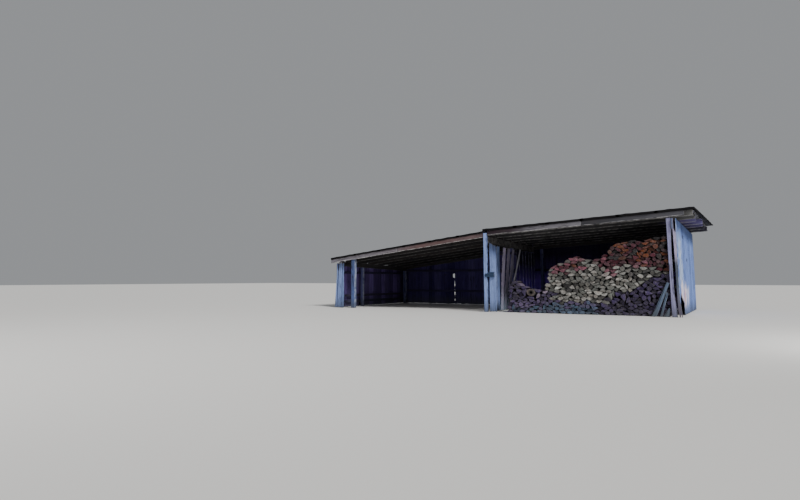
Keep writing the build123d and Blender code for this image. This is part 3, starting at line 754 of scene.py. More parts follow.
def rightBoard(i, solid):
    v = rottedFoot
    low, high = solid.min(axis=0), solid.max(axis=0)
    base = random.Random(i + 3).uniform(0.35, 1.0)
    shade = graded((high[2] - eaveShade["from"], high[2] - eaveShade["to"]), (1.0, 0.0))
    tones = {"toneAlong": lambda z: base * shade(z + low[2])}
    wide = high[1] - low[1]

    def foot(u):
        across = u * wide
        inStrip = (across > v["strip"][0]) & (across < v["strip"][1])
        return np.where(inStrip, v["spike"] * u, v["high"] - v["slope"] * across)

    if i == 0:
        return dict(tones, corners=boxCorners(low, high, "zy"), startCut=foot, columns=16)
    if low[2] > v["clear"]:
        torn = {"ragStart": v["ragged"], "startCut": lambda u: v["past"], "teeth": 2.5}
        return dict(tones, columns=10, **torn)
    return tones


rightWall = {
    "step": 0.15, "wave": 0.006, "grow": 0.004, "bow": 0.08, "ragStart": 0.03, "ragEnd": 0.03, "columns": 5,
    "shelter": (1.0, 0.0), "special": rightBoard,
}
buildBoards("right_wall_boards", "zy", rightWall, "wallBoard")

# back wall
for node in ("back_plate_left", "back_plate_right", "back_girts_left", "back_girts_right"):
    buildBoards(node, "xz", rail, "railTimber" if "girts" in node else "beamTimber")

# the two boards beside the light slit are notched for its hole and part below it
slit = {
    "hole": (0.965, 1.125), "low": 0.12, "deep": 0.072, "narrow": 0.005, "wander": 0.006, "meet": -0.006,
}
notched = [solid[:, 0].mean() for solid in solidsOf("back_boards_left") if len(solid) > 8]


def backLeftBoard(i, solid):
    v = slit
    if len(solid) <= 8:
        return {}
    low, high = solid.min(axis=0), solid.max(axis=0)
    isLeft = solid[:, 0].mean() < np.mean(notched)
    corners = boxCorners(low, high, "zx")
    for side, edge in ((0, low[0]), (1, high[0])):
        corners[1, side, :, 2] = solid[np.abs(solid[:, 0] - edge) < 0.002][:, 2].max()

    def cut(metres):
        inHole = (metres > v["hole"][0]) & (metres < v["hole"][1])
        inSlit = (metres > v["low"]) & (metres <= v["hole"][0])
        parted = v["narrow"] + v["wander"] * np.sin(metres * 19)
        depth = np.where(inSlit, parted, v["meet"])
        depth = np.where(inHole, v["deep"] if isLeft else v["narrow"], depth)
        return (v["meet"], depth) if isLeft else (depth, v["meet"])

    return {"corners": corners, "sideCut": cut, "step": 0.03, "wave": 0.002, "grow": 0.0}


backWall = {
    "wave": 0.004, "grow": 0.007, "bow": 0.08, "ragStart": 0.03, "ragEnd": -0.004, "columns": 3,
    "shelter": (1.0, 0.0),
}
buildBoards("back_boards_left", "zx", dict(backWall, special=backLeftBoard), "innerBoard")
buildBoards("back_boards_right", "zx", dict(backWall, toneAlong=backShade), "backBoard")
print("walls and frame built")

# roof
# the pale low band along each rafter is a painted highlight
rafter = {
    "chamfer": 0.006, "wave": 0.010, "bow": 0.05, "columns": 6, "step": 0.5, "ragStart": 0.02,
    "ragEnd": 0.03, "lowHighlight": 0.12,
}
buildBoards("left_rafters", "xz", rafter, "leftRafterTimber")
# how far from its end each tail pales, and how much; the hindmost tails pale less, as painted shade
tails = {"grey": 2, "from": 0.75, "full": 0.35, "shares": (1.0, 1.0, 1.0, 1.0, 0.7, 0.1)}


def rightRafter(i, solid):
    long = np.ptp(solid[:, 0])
    share = tails["shares"][min(i, len(tails["shares"]) - 1)]
    paling = graded((long - tails["from"], long - tails["full"]), (0.0, share))
    return {"toneAlong": paling, "material": int(i >= tails["grey"])}


buildBoards("right_rafters", "xz", dict(rafter, ragEnd=0.05, special=rightRafter), "greyTail", "violetTail")

# the front edge boards
# the pale low band along each edge board is a painted highlight
fascia = {
    "chamfer": 0.006, "wave": 0.014, "bow": 0.06, "columns": 8, "step": 0.25, "ragStart": 0.006,
    "ragEnd": 0.02, "lowHighlight": 0.13,
}
# for each board, where its tone changes, the tones there, its material and how far its low edge is planed
fasciaTones = {
    "left_fascia": (((0.0, 2.6), (0.05, 0.25), 0, 0.0), ((0.0, 0.7, 3.0), (0.4, 0.9, 0.75), 0, 0.0)),
    "right_fascia": (
        ((0.0, 0.8, 1.25, 2.7), (0.0, 0.1, 0.75, 1.0), 2, 0.010), ((0.0, 2.6), (0.2, 0.6), 1, 0.012)),
}


def fasciaBoard(i, solid):
    at, tones, material, planed = boards[i]
    return {"toneAlong": graded(at, tones), "material": material, "sideCut": lambda metres: (planed, 0.0)}


for node, boards in fasciaTones.items():
    buildBoards(node, "xz", dict(fascia, special=fasciaBoard), "edgeBoard", "oldEdgeBoard", "darkEdgeBoard")

# roof boards run along the roof; their right ends are uneven and the foremost is red-brown
deck = {
    "chamfer": 0.003, "wave": 0.003, "grow": 0.004, "bow": 0.05, "columns": 2, "step": 0.5,
    "ragStart": 0.02, "ragEnd": 0.02,
}
deckCount = 22


def deckStrip(i, part):
    short = rng.uniform(0, ragged)
    strip = partOf(block, i / deckCount, (i + 1) / deckCount)
    return {"corners": strip, "endCut": lambda u: short, "material": int(i == 0)}


for node, ragged in (("left_deck", 0.0), ("right_deck", 0.06)):
    block = cornersOf(solidsOf(node)[0], "xy")
    rng = random.Random(node)
    buildBoards(node, "xy", dict(deck, special=deckStrip), "deckBoard", "redBoard", parts=range(deckCount))
print("deck built")


def feltMaterial(v):
    t = startMaterial("roofFelt")
    place = attribute(t, "grainPos", "Vector")
    wearAndLitEdges = wearOf(t, v)
    cloudy = remap(t, noiseOf(t, place, 1.1, 6.0, 0.6), 0.35, 0.65)
    grit = remap(t, noiseOf(t, place, 220.0, 2.0), 0.35, 0.65)
    runs = remap(t, noiseOf(t, scaleVector(t, place, 0.7, 9.0, 1.0), 1.0, 5.0, 0.6), 0.5, 0.7)
    # the edge colour on the rims is a painted highlight; the hanging flaps take the flap colour: the felt's
    # dark edge deepened with painted shade
    colour = overlay(t, mixColour(t, cloudy, v["dark"], v["light"]), [
        (times(t, grit, 0.35), v["grit"]), (times(t, runs, v["runs"]), v["runColour"]),
        (wearAndLitEdges["Patches"], v["patchColour"]), (wearAndLitEdges["Edges"], v["edgeColour"]),
        (remap(t, attribute(t, "edge"), -1.0, 0.0, 1.0, 0.0), v["flapColour"]),
    ])
    relief = plus(t, times(t, grit, 0.25), noiseOf(t, place, 7.0, 3.0))
    finishMaterial(t, colour, remap(t, cloudy, 0.0, 1.0, 0.8, 0.95), relief, 0.5, 0.008, 0.08)


# the pale edge colour is a painted highlight, and the flap colour is partly painted shade
feltMaterial({
    "dark": rgb(30, 30, 34), "light": rgb(50, 50, 56), "grit": rgb(84, 86, 94), "runs": 0.3,
    "runColour": rgb(84, 80, 76), "flapColour": rgb(22, 21, 23), "edgeAmount": 0.45,
    "edgeColour": rgb(112, 116, 128), "patchScale": 1.6, "patchAmount": 0.6, "patchColour": rgb(70, 78, 52),
})

felt = {
    "width": 0.92, "lap": 0.10, "thick": 0.007, "ripple": 0.10, "ragBack": 0.04, "columns": 8,
    "step": 0.12, "flapThick": 0.009, "flapLeast": 0.7,
    "edgeWaves": ((6, 2.2), (6, 1.5), (5, 0.8), (6, 0.9)), "lift": 0.62, "lapLift": 0.26, "ragLow": 0.02,
    "stepFlap": 0.052, "stepWander": (0.8, 0.2), "sideFlap": 0.055, "sideWander": (0.7, 0.5),
    "frontBumps": 0.014, "sideIn": 0.035, "cornerIn": 0.075, "cornerDroop": 0.025, "cornerWorn": 0.22,
    "sideRag": 0.02, "frontLift": 0.3, "frontReach": 0.4, "endPart": 0.12,
}


def roofBlock(node):
    # the covering's flat slab as corners, and how far its front edge is turned down
    points, tolerance = solidsOf(node)[0], 0.002
    rear = points[points[:, 1] > points[:, 1].max() - tolerance]
    face = points[points[:, 1] < points[:, 1].min() + tolerance]

    def column(group, side):
        near = group[np.abs(group[:, 0] - side(group[:, 0])) < tolerance]
        return near[near[:, 2].argmin()], near[near[:, 2].argmax()]

    corners = np.zeros((2, 2, 2, 3))
    for b, side in enumerate((min, max)):
        corners[1, b] = column(rear, side)
        thick = corners[1, b, 1, 2] - corners[1, b, 0, 2]
        corners[0, b, 1] = column(face, side)[1]
        corners[0, b, 0] = corners[0, b, 1] - (0, 0, thick)
    lip = np.ptp(face[face[:, 0].max() - face[:, 0] < felt["endPart"]][:, 2]) - thick
    return corners, lip


def feltRoll(batch, block, lip, seed, order, flapLow, flapHigh):
    # one roll laid from front to back; its low edge covers the roll before it and its front edge hangs down
    v = felt
    rng = random.Random(seed)
    length = np.linalg.norm(edgeVectors(block)[0])
    thick = block[0, 0, 1, 2] - block[0, 0, 0, 2]
    rows = int(length / v["step"])
    line = np.linspace(0, 1, v["columns"] + 1)
    line = np.concatenate([[0.0] * bool(flapLow), line, [1.0] * bool(flapHigh)])
    s, u = np.meshgrid(np.concatenate([[0.0], np.linspace(0, 1, rows + 1)]), line, indexing="ij")
    ripples = [wave(rng, 5, 1.3) for _ in range(3)]
    front, back, low, edgeRag = (wave(rng, count, base) for count, base in v["edgeWaves"])
    metres = s * length
    bumps = ripples[0](metres) + ripples[1](metres * 0.6 + u * 1.7) + ripples[2](u * 2.0 + metres * 0.2)
    lift = v["lift"] + v["lapLift"] * (1 - u) + v["ripple"] * bumps / 3
    lift = lift + v["frontLift"] * np.exp(-metres / v["frontReach"])
    sNew = s - s * v["ragBack"] * half(back(u)) / length
    uNew = u + (1 - u) * v["ragLow"] * half(low(metres)) * (not flapLow)
    top = blend(block, sNew, uNew, np.clip(lift, 0.0, 1.0))
    under = top - (0, 0, v["thick"])
    sheets = (top, under)
    hang = lip * (v["flapLeast"] + (1 - v["flapLeast"]) * half(front(u[0]))) + thick
    under[:2, :, 1] += v["flapThick"]
    for sheet in sheets:
        sheet[1:3, :, 2] += v["frontBumps"] * np.maximum(0.0, low(u[0] * 3 + 5))
        sheet[0, :, 2] = top[1, :, 2] - hang
    if flapLow:
        least, more = v["stepWander"]
        for sheet in sheets:
            sheet[:, 0, 2] -= flapLow * (least + more * edgeRag(metres[:, 0]))
        under[:, 0, 0] += v["flapThick"]
    if flapHigh:
        # the corner is worn off, the side edge is ragged and hangs down, less at the back
        past = np.maximum(0.0, top[:, :, 0] - flapHigh) / (top[:, :, 0].max() - flapHigh)
        worn = np.exp(-metres / v["cornerWorn"])
        least, more = v["sideWander"]
        inward = v["sideIn"] * s + v["cornerIn"] * worn + v["sideRag"] * half(edgeRag(metres * 2.3))
        for sheet in sheets:
            sheet[:, :, 0] -= past * inward
            sheet[:, :, 2] -= past * worn * v["cornerDroop"]
            hangs = least + more * edgeRag(metres[:, -1])
            sheet[:, -1, 2] -= v["sideFlap"] * hangs * (1 - s[:, -1] ** 6)
        under[:, -1, 0] -= v["flapThick"]
    points = np.stack([under, top], axis=2)
    grainPos = points + (order * 3.1, 0.0, 0.0)
    hanging = np.arange(len(s))[:, None] < 2
    # the back and low rims are marked for the painted highlight, the hanging flaps for the flap colour's
    # painted shade
    rim = np.where(hanging | (u == 1) * bool(flapHigh), -1.0, ((s == 1) | (u == 0)).astype(float))
    base = addPoints(batch, points, grainPos, grainPos, rng.random(), bothSides(rim))
    for faces in gridFaces(base, *s.shape, True):
        addFaces(batch, faces)


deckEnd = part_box("right_deck")[1][0]
for node in ("left_covering", "right_covering"):
    batch = newBatch()
    block, lip = roofBlock(node)
    length = block[0, 1, 0, 0] - block[0, 0, 0, 0]
    count = int(round(length / felt["width"]))
    isRight = node == "right_covering"
    for i in range(count):
        roll = partOf(block, i / count, min(1.0, (i + 1) / count + felt["lap"] / length))
        flapLow = felt["stepFlap"] if isRight and i == 0 else 0.0
        flapHigh = deckEnd if isRight and i == count - 1 else 0.0
        feltRoll(batch, roll, lip, node + str(i), i, flapLow, flapHigh)
    piece = finishPiece(batch, node, "roofFelt")
    piece.data.polygons.foreach_set("use_smooth", [True] * len(piece.data.polygons))
print("roof built")


# firewood
def logEndMaterial(v):
    t = startMaterial("logEnds")
    place = attribute(t, "grainPos", "Vector")
    damp, rings = dampOf(t, v), ringsOf(t, v)
    blotch = remap(t, noiseOf(t, place, 11.0, 5.0, 0.65), 0.40, 0.66)
    pale = remap(t, noiseOf(t, place, 26.0, 3.0), 0.52, 0.72)
    colour = attribute(t, "tint", "Color")
    colour = mixColour(t, remap(t, rings["Radius"], 0.02, 0.10, 0.45, 0.0), colour, v["heart"], "MULTIPLY")
    colour = mixColour(t, times(t, rings["Rings"], v["ringShow"]), colour, v["ringColour"], "MULTIPLY")
    # the rim colour is painted shade at the faces' edges and round the hole
    colour = overlay(t, colour, [
        (times(t, blotch, v["grimeShow"]), v["grime"]), (times(t, pale, v["paleShow"]), v["pale"]),
        (rings["Splits"], v["splitColour"]), (attribute(t, "edge"), v["rim"]), (damp, v["dampColour"]),
    ])
    saw = noiseOf(t, scaleVector(t, place, 40.0, 240.0, 240.0), 1.0, 2.0)
    relief = minus(t, times(t, saw, 0.5), times(t, rings["Splits"], 1.2))
    finishMaterial(t, colour, 0.85, relief, 0.6, 0.004)


def logSideMaterial(name, v):
    t = startMaterial(name)
    place = attribute(t, "grainPos", "Vector")
    grain = useGroup(t, woodGrain, {"Vector": place, "Scale": v["scale"], "Stretch": v["stretch"]})
    relief = grain["Height"]
    colour = mixColour(t, grain["Streaks"], v["dark"], v["light"])
    colour = mixColour(t, v["tintShare"], colour, attribute(t, "tint", "Color"))
    if "furrow" in v:
        plates = {"Vector": scaleVector(t, place, 9.0, 34.0, 34.0), "Scale": 1.0}
        furrow = remap(t, put(t, "TexVoronoi", plates, feature="DISTANCE_TO_EDGE")[0], 0.0, 0.16, 1.0, 0.0)
        colour = mixColour(t, furrow, colour, v["furrow"])
        relief = minus(t, relief, furrow)
    finishMaterial(t, colour, 0.9, relief, 0.8, v["depth"])


logEndMaterial({
    "heart": rgb(170, 140, 120), "ringColour": rgb(150, 126, 110), "ringShow": 0.5, "ringSpacing": 0.007,
    "grime": rgb(44, 40, 44), "grimeShow": 0.6, "pale": rgb(188, 180, 172), "paleShow": 0.15,
    "splitColour": rgb(24, 20, 20), "rim": rgb(14, 12, 19),
    "dampColour": rgb(58, 56, 62), "dampTop": 0.25, "dampAmount": 0.5,
})
logSideMaterial("splitWood", {
    "scale": 1.6, "stretch": 14.0, "light": rgb(118, 106, 98), "dark": rgb(62, 54, 52), "tintShare": 0.5,
    "depth": 0.004,
})
# bark: its own dark colour, made bluish as painted shade for the gaps between the logs
logSideMaterial("bark", {
    "scale": 3.0, "stretch": 5.0, "light": rgb(52, 51, 64), "dark": rgb(26, 25, 34), "tintShare": 0.1,
    "depth": 0.008, "furrow": rgb(22, 19, 18),
})

# end shapes: how often each comes, its width, its height above and below the widest line, where the two
# peaks lie and how round each side is; near 1 is a straight split side, above 1.7 the trunk's outside with bark
logShapes = [dict(zip(("share", "wide", "up", "down", "peaks", "round"), shape)) for shape in (
    (5, 0.228, 0.080, 0.014, (0.1, 0.0), (1.9, 1.1)), (5, 0.222, 0.015, 0.078, (0.0, -0.1), (1.1, 1.8)),
    (4, 0.214, 0.052, 0.048, (-0.3, 0.3), (1.6, 1.1)), (3, 0.190, 0.098, 0.018, (0.3, 0.2), (1.05, 1.7)),
    (3, 0.240, 0.044, 0.042, (0.5, -0.4), (1.1, 1.2)), (2, 0.170, 0.060, 0.058, (-0.1, 0.5), (2.0, 1.5)),
    (1, 0.135, 0.060, 0.058, (0.0, 0.0), (2.0, 2.0)), (1, 0.240, 0.054, 0.056, (0.2, -0.2), (1.7, 1.7)),
)]
# orange and red are darkened with painted shade from the eave; the shade colours are the logs' greys in painted
# shade
logColours = {
    "orange": rgb(124, 58, 0), "red": rgb(92, 6, 42), "pink": rgb(140, 80, 98), "tan": rgb(188, 189, 184),
    "olive": rgb(120, 125, 120), "purple": rgb(66, 50, 102), "blue": rgb(84, 118, 152),
    "dark": rgb(20, 15, 17), "night": rgb(40, 30, 64), "mauve": rgb(100, 84, 132),
    "pale": rgb(176, 160, 192),
}
# how the logs are dropped, shaped, turned and coloured
firewood = {
    "column": 0.01, "library": 220, "sizeLow": 0.82, "sizeHigh": 1.18, "backSize": 1.15, "tries": 90,
    "reach": 8, "past": -0.03, "over": 0.03, "endSlope": 0.12, "lowFirst": 9.0, "leastHigh": 0.3,
    "chance": 0.12, "seed": 11, "rows": 3, "points": 4, "firstPoint": 0.94, "barkFrom": 1.7,
    "wideWander": (0.9, 1.1), "highWander": (0.85, 1.15), "peakWander": (-0.15, 0.15), "rough": 0.035,
    "lean": 0.34, "turnedOver": 0.3, "onEdge": 0.06, "tilt": 0.25, "twist": 0.003, "swell": 0.002,
    "bevel": 0.016, "bevelSlope": 0.3, "rimWear": 0.8, "faceIn": 0.012, "frontIn": 0.085,
    "mostInFront": 1.5, "rowGap": 0.02, "rowWander": (0.01, 0.04), "mixed": 0.35, "light": (0.58, 1.04),
    "zoneWander": (0.12, 0.07),
}
# colours by place: from x, to x, height of the zone's lower edge at each, and the shares of its colours; the
# shade colours low down and on the left are painted shade, and the top zones under the eave are painted darker
# with shade
logZones = (
    (4.73, 9.00, 1.20, 1.20, {"red": 6, "orange": 2, "dark": 2}),
    (4.22, 4.73, 1.42, 1.38, {"orange": 6, "red": 4, "dark": 4}),
    (3.83, 4.22, 1.42, 1.42, {"red": 7, "orange": 2, "dark": 4}),
    (3.37, 3.83, 1.44, 1.42, {"orange": 6, "red": 3, "dark": 4}),
    (3.05, 4.95, 1.27, 1.20, {"pink": 5, "red": 4, "orange": 1, "olive": 1}),
    (3.20, 3.52, 0.98, 0.98, {"pink": 3, "tan": 3, "olive": 2}),
    (1.60, 2.60, 1.04, 1.12, {"pink": 6, "red": 2, "orange": 2, "olive": 1}),
    (2.60, 3.05, 1.12, 1.27, {"pink": 3, "olive": 4, "tan": 2}),
    (4.15, 4.95, 0.79, 1.16, {"tan": 2, "olive": 8, "dark": 2}),
    (3.05, 4.15, 0.28, 0.79, {"tan": 7, "olive": 6, "dark": 1}),
    (3.05, 9.00, -1.0, -1.0, {"purple": 7, "night": 4}),
    (1.90, 3.05, 0.36, 0.24, {"tan": 7, "olive": 5, "dark": 1}),
    (1.70, 3.05, 0.62, 0.62, {"tan": 6, "olive": 5, "pink": 1}),
    (1.66, 3.05, 0.30, 0.24, {"purple": 4, "mauve": 3, "night": 1}),
    (1.66, 3.05, 0.12, 0.12, {"mauve": 4, "blue": 5}),
    (1.66, 3.60, -1.0, -1.0, {"blue": 9, "mauve": 1}),
    (1.52, 1.66, 0.48, 0.48, {"pale": 1}),
    (0.00, 1.66, 0.40, 0.34, {"purple": 6, "night": 4, "mauve": 1}),
    (0.00, 1.66, 0.13, 0.13, {"mauve": 7, "purple": 2}),
    (0.00, 9.00, -1.0, -1.0, {"mauve": 4, "blue": 5}),
)


def topLine(node):
    # the top outline of a CAD block's front face, as places along it and their heights
    points = np.unique(np.round(solidsOf(node)[0], 3), axis=0)
    frontFace = points[points[:, 1] < points[:, 1].min() + 0.001]
    upper = frontFace[frontFace[:, 2] > 0.01]
    upper = upper[np.argsort(upper[:, 0], kind="stable")]
    return upper[:, 0], upper[:, 2]


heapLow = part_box("log_heap")[0]
stackLow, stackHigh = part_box("log_stack")
heapTop, stackTop = topLine("log_heap"), topLine("log_stack")


def topAt(x):
    return np.where(x < stackLow[0], np.interp(x, *heapTop), np.interp(x, *stackTop))


def twoRandom(rng):
    return np.array([rng.uniform(-1, 1), rng.uniform(-1, 1)])


def logOutline(shape, size, rng):
    # outline round the piece's middle, which of its points carry bark, and where the heart of the trunk was
    v = firewood
    wide = shape["wide"] * size * rng.uniform(*v["wideWander"])
    outline, barkShare = [], []
    halves = zip((1, -1), (shape["up"], shape["down"]), shape["peaks"], shape["round"])
    for side, high, peak, roundness in halves:
        peak += rng.uniform(*v["peakWander"])
        high *= side * size * rng.uniform(*v["highWander"])
        for at in np.linspace(-v["firstPoint"], 1.0, v["points"] + 1)[:-1] * side:
            far = (at - peak) / ((1 if at > peak else -1) - peak)
            outline.append((at * wide / 2, high * (1 - abs(far) ** roundness)))
            barkShare.append(roundness > v["barkFrom"])
    outline, barkShare = np.array(outline)[::-1], np.array(barkShare)[::-1]
    outline = outline + np.array([twoRandom(rng) for _ in outline]) * wide * v["rough"]
    heart = np.array([0.0, shape["up"] * (0.1 if barkShare.all() else -0.9 if barkShare[-1] else 0.9)])
    angle = rng.uniform(-1, 1) * v["lean"]
    if rng.random() < v["turnedOver"]:
        angle += math.pi
    if rng.random() < v["onEdge"]:
        angle += math.pi / 2
    turn = np.array([[math.cos(angle), math.sin(angle)], [-math.sin(angle), math.cos(angle)]])
    middle = (outline.min(axis=0) + outline.max(axis=0)) / 2
    return (outline - middle) @ turn, barkShare, (heart - middle) @ turn


def columnsOf(outline):
    # lowest and highest point of an outline over each grid column it covers
    step = firewood["column"]
    xs = np.arange(math.ceil(outline[:, 0].min() / step), math.floor(outline[:, 0].max() / step) + 1) * step
    low, high = np.full(len(xs), 9.0), np.full(len(xs), -9.0)  # past any height, until an edge is found
    for a, b in zip(outline, np.roll(outline, -1, axis=0)):
        if abs(a[0] - b[0]) < 1e-6:
            continue
        inside = (xs >= min(a[0], b[0]) - 1e-9) & (xs <= max(a[0], b[0]) + 1e-9)
        z = a[1] + (b[1] - a[1]) * (xs - a[0]) / (b[0] - a[0])
        low = np.where(inside, np.minimum(low, z), low)
        high = np.where(inside, np.maximum(high, z), high)
    return np.rint(xs / step).astype(int), low, high


def pileLogs(rng, x0, x1, size, hollow=None):
    # drops pieces one by one where they lie lowest and leave the least empty room below
    v = firewood
    step, reach, over = v["column"], v["reach"], v["over"]
    grid = np.arange(x0, x1 + step, step)
    level = np.zeros(len(grid))
    limit = topAt(grid) + v["past"]
    done = np.zeros(len(grid), dtype=bool)
    shapes = [shape for shape in logShapes for _ in range(shape["share"])]
    library = []
    for _ in range(v["library"]):
        shape = rng.choice(shapes)
        found = logOutline(shape, size * rng.uniform(v["sizeLow"], v["sizeHigh"]), rng)
        library.append(found + columnsOf(found[0]))
    pieces = []

    def lay(at, xs, rest, high, outline, bark, heart, isHollow=False):
        level[at + xs] = np.maximum(level[at + xs], rest + high)
        place = (grid[at], rest)
        pieces.append({"outline": outline + place, "bark": bark, "heart": heart + place, "hollow": isHollow})

    while not done.all():
        if hollow is not None:
            xs, low, high = columnsOf(hollow["outline"])
            at = int(round((hollow["x"] - x0) / step))
            rest = (level[at + xs] - low).max()
            if rest > hollow["z"] - over:
                bark = np.ones(len(hollow["outline"]), dtype=bool)
                lay(at, xs, rest, high, hollow["outline"], bark, np.zeros(2), True)
                hollow = None
        start = int(np.where(done, np.inf, level / np.maximum(limit, v["leastHigh"])).argmin())
        best = None
        for _ in range(v["tries"]):
            outline, bark, heart, xs, low, high = library[rng.randrange(len(library))]
            at = start + rng.randint(-reach, reach)
            if at + xs[0] < 0 or at + xs[-1] >= len(grid) or not (xs[0] + at <= start <= xs[-1] + at):
                continue
            below = level[at + xs]
            rest = (below - low).max()
            tooHigh = (rest + high - limit[at + xs]).max() > over
            if tooHigh or grid[at + xs[0]] < x0 + v["endSlope"] * rest:
                continue
            waste = (rest + low - below).sum() / (high - low).sum()
            cost = waste + v["lowFirst"] * (rest - level[start]) + rng.uniform(0, v["chance"])
            if best is None or cost < best[0]:
                best = (cost, at, xs, rest, high, outline, bark, heart)
        if best is None:
            done[start] = True
        else:
            lay(*best[1:])
    return pieces


def colourOf(x, z, rng):
    # a mix of two colours drawn from the zone that the log lies in
    wanderX, wanderZ = firewood["zoneWander"]
    x, z = x + rng.uniform(-wanderX, wanderX), z + rng.uniform(-wanderZ, wanderZ)
    for left, right, atLeft, atRight, shares in logZones:
        if left <= x < right and z >= atLeft + (atRight - atLeft) * (x - left) / (right - left):
            break
    first, second = rng.choices(list(shares), list(shares.values()), k=2)
    share, light = rng.uniform(0.0, firewood["mixed"]), rng.uniform(*firewood["light"])
    return (np.array(logColours[first][:3]) * (1 - share) + np.array(logColours[second][:3]) * share) * light


# a round hollow log lies on the heap, with its place, its size, its hole's share of it and the hole's depth
hollowLog = {
    "x": 1.29, "z": 0.59, "wide": 0.25, "high": 0.20, "share": 0.36, "deep": 0.25, "sides": 18,
    "colour": rgb(110, 100, 94),
}
angles = np.linspace(0, 2 * math.pi, hollowLog["sides"] + 1)[:-1]
oval = np.stack([np.cos(angles) * hollowLog["wide"], np.sin(angles) * hollowLog["high"]], axis=1)
hollowLog["outline"] = oval / 2


def addLog(batch, log, y0, y1, rng, tint):
    # one log from its sawn face at y0 to its rear end at y1, with bark where its outline has it
    v = firewood
    outline, inBark, heart = log["outline"], log["bark"], log["heart"]
    n = len(outline)
    middle = outline.mean(axis=0)

    def resized(by):
        return middle + (outline - middle) * (1 + by / np.linalg.norm(outline - middle, axis=1).mean())

    outline = resized(v["swell"])
    tilt = twoRandom(rng) * v["tilt"]
    twist = twoRandom(rng) * v["twist"]
    # each ring has its outline, its depth and its share of the sawn face's tilt; the face has a bevelled rim,
    # painted dark as the shade in the gaps
    rings = [
        (resized(-v["bevel"]), y0, 1.0), (outline, y0 + v["bevel"] * v["bevelSlope"], 1.0),
        (outline + twist, (y0 + y1) / 2, 0.0), (outline + twist * 2, y1, 0.0),
    ]
    edge = [0.0] * n + [v["rimWear"]] * n + [0.0] * (2 * n)
    if log["hollow"]:
        hole = middle + (outline - middle) * hollowLog["share"]
        # the hole's edge takes the dark rim colour: painted shade in the hole
        rings += [(hole, y0, 0.0), (hole, y0 + hollowLog["deep"], 0.0)]
        edge += [1.0] * (2 * n)
    else:
        rings.append((middle[None], y0, 0.0))
        edge.append(0.0)
    points = np.concatenate([
        np.stack([ring[:, 0], y + (ring - middle) @ tilt * follow, ring[:, 1]], axis=1)
        for ring, y, follow in rings
    ])
    shift = np.array([rng.uniform(0, 30), rng.uniform(0, 30), rng.uniform(0, 30)])
    grainPos = points[:, (1, 0, 2)] + shift
    ringPos = points[:, (0, 2, 1)] * (1, 1, 0) + (-heart[0], -heart[1], rng.uniform(0, 30))
    base = addPoints(batch, points, grainPos, ringPos, rng.random(), edge)
    batch["tint"].append(np.tile(tint, (len(points), 1)))

    def band(a, b, i):
        j = (i + 1) % n
        return base + a * n + i, base + b * n + i, base + b * n + j, base + a * n + j

    around = range(n)
    if log["hollow"]:
        addFaces(batch, [band(0, 4, i)[::-1] for i in around], 0)
        addFaces(batch, [band(4, 5, i)[::-1] for i in around], 2)
        addFaces(batch, [tuple(base + 5 * n + i for i in around)], 2)
    else:
        addFaces(batch, [(base + i, base + (i + 1) % n, base + 4 * n) for i in around], 0)
    addFaces(batch, [band(0, 1, i) for i in around], 0)
    for i in around:
        kind = 2 if inBark[i] and inBark[(i + 1) % n] else 1
        addFaces(batch, [band(1, 2, i), band(2, 3, i)], kind)
    addFaces(batch, [tuple(base + 3 * n + i for i in around)], 0)


rng = random.Random(firewood["seed"])
heapBatch, stackBatch = newBatch(), newBatch()
rowDeep = (stackHigh[1] - stackLow[1]) / firewood["rows"]
xEnd = stackHigh[0] - 0.01
frontLogs = pileLogs(rng, heapLow[0], xEnd, 1.0, hollowLog)
for log in frontLogs:
    x, z = log["outline"].mean(axis=0)
    inFront = 0.0 if log["hollow"] else rng.uniform(0, 1) ** firewood["mostInFront"] * firewood["frontIn"]
    batch = heapBatch if x < stackLow[0] else stackBatch
    tint = colourOf(x, z, rng)
    if log["hollow"]:
        tint = np.array(hollowLog["colour"][:3])
    y0 = stackLow[1] + firewood["faceIn"] + inFront
    addLog(batch, log, y0, stackLow[1] + rowDeep - firewood["rowGap"], rng, tint)
for row in range(1, firewood["rows"]):
    for log in pileLogs(rng, stackLow[0], xEnd, firewood["backSize"]):
        x, z = log["outline"].mean(axis=0)
        y0 = stackLow[1] + rowDeep * row + rng.uniform(*firewood["rowWander"])
        y1 = stackLow[1] + rowDeep * (row + 1) - rng.uniform(*firewood["rowWander"])
        addLog(stackBatch, log, y0, y1, rng, colourOf(x, z, rng))
finishPiece(heapBatch, "log_heap", "logEnds", "splitWood", "bark")
finishPiece(stackBatch, "log_stack", "logEnds", "splitWood", "bark")
print("firewood stacked:", len(frontLogs), "pieces in the front row")

# planks that lean on the right post, each with the place and width of its foot and of its top,
# its height and how far it stands in front of the logs
planks = {
    "wide": (4.388, 0.122, 4.787, 0.062, 0.870, 0.050), "thin": (4.580, 0.060, 4.763, 0.045, 0.620, 0.025),
    "short": (4.650, 0.150, 4.810, 0.020, 0.240, 0.025),
}
plankLook = {"wave": 0.004, "ragStart": 0.01, "ragEnd": 0.03, "bow": 0.05, "tone": (0.3, 1.0)}
plankDeep, plankSlant = 0.025, 0.03
batch = newBatch()
for name, (foot, footWide, top, topWide, high, out) in planks.items():
    corners = np.zeros((2, 2, 2, 3))
    for c, y in enumerate((stackLow[1] - out, stackLow[1] - out + plankDeep)):
        corners[0, :, c] = (foot, y, 0.0), (foot + footWide, y, 0.0)
        corners[1, :, c] = (top, y, high), (top + topWide, y, high - plankSlant)
    addBoard(batch, corners, plankLook, "plank" + name)
finishPiece(batch, "leaning_planks", "plankBoard")

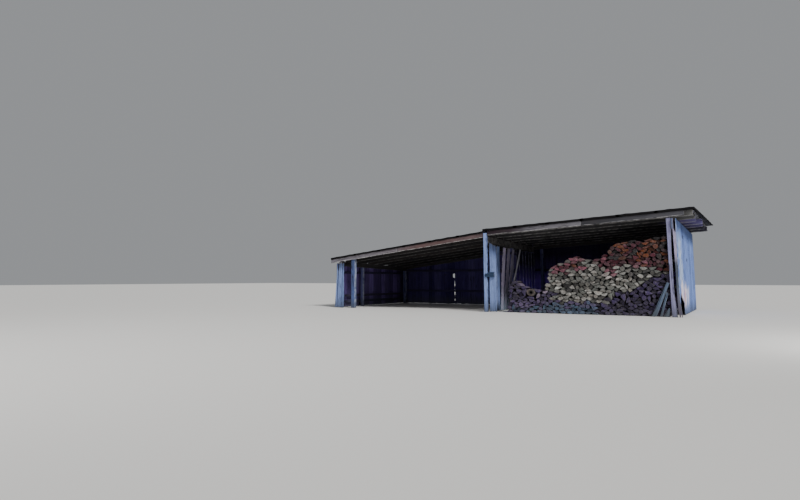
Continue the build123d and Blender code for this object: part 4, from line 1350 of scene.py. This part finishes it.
# floor, light and camera
studio = {
    "floor": rgb(214, 212, 208), "floorHalf": 90, "world": rgb(225, 228, 232), "worldLight": 0.40,
    "sun": 3.5, "sunSoft": 16.0, "fill": 260.0, "side": 160.0,
}
floorMesh = bpy.data.meshes.new("floor")
edge = studio["floorHalf"]
floorCorners = [(-edge, -edge, 0), (edge, -edge, 0), (edge, edge, 0), (-edge, edge, 0)]
floorMesh.from_pydata(floorCorners, [], [(0, 1, 2, 3)])
floor = bpy.data.objects.new("floor", floorMesh)
bpy.context.scene.collection.objects.link(floor)
t = startMaterial("floorPaint")
fillInputs(t, t.nodes["Principled BSDF"], {"Base Color": studio["floor"], "Roughness": 0.9})
floorMesh.materials.append(bpy.data.materials["floorPaint"])

world = bpy.data.worlds.new("studio")
world.use_nodes = True
background = world.node_tree.nodes["Background"]
fillInputs(world.node_tree, background, {0: studio["world"], 1: studio["worldLight"]})
bpy.context.scene.world = world


def lamp(name, kind, energy, place, turn, size):
    data = bpy.data.lights.new(name, kind)
    data.energy = energy
    if kind == "SUN":
        data.angle = math.radians(size)
    else:
        data.shape = "SQUARE"
        data.size = size
    light = bpy.data.objects.new(name, data)
    light.location = place
    light.rotation_euler = [math.radians(a) for a in turn]
    bpy.context.scene.collection.objects.link(light)


lamp("key", "SUN", studio["sun"], (10, -12, 12), (48, 0, 60), studio["sunSoft"])
lamp("fill", "AREA", studio["fill"], (-2, -14, 5), (72, 0, -6), 9.0)
lamp("side", "AREA", studio["side"], (9.5, -6.0, 1.6), (86, 0, 56), 3.0)

lens = {"place": (6.707, -16.245, 0.934), "pitch": 6.921, "turn": 30.548, "focal": 27.0, "shift": -0.0548}
cameraData = bpy.data.cameras.new("camera")
cameraData.lens = lens["focal"]
cameraData.sensor_width = 36.0
cameraData.shift_y = lens["shift"]
camera = bpy.data.objects.new("camera", cameraData)
camera.location = lens["place"]
camera.rotation_euler = (math.radians(90 + lens["pitch"]), 0, math.radians(lens["turn"]))
bpy.context.scene.collection.objects.link(camera)
bpy.context.scene.camera = camera
print("stage set")
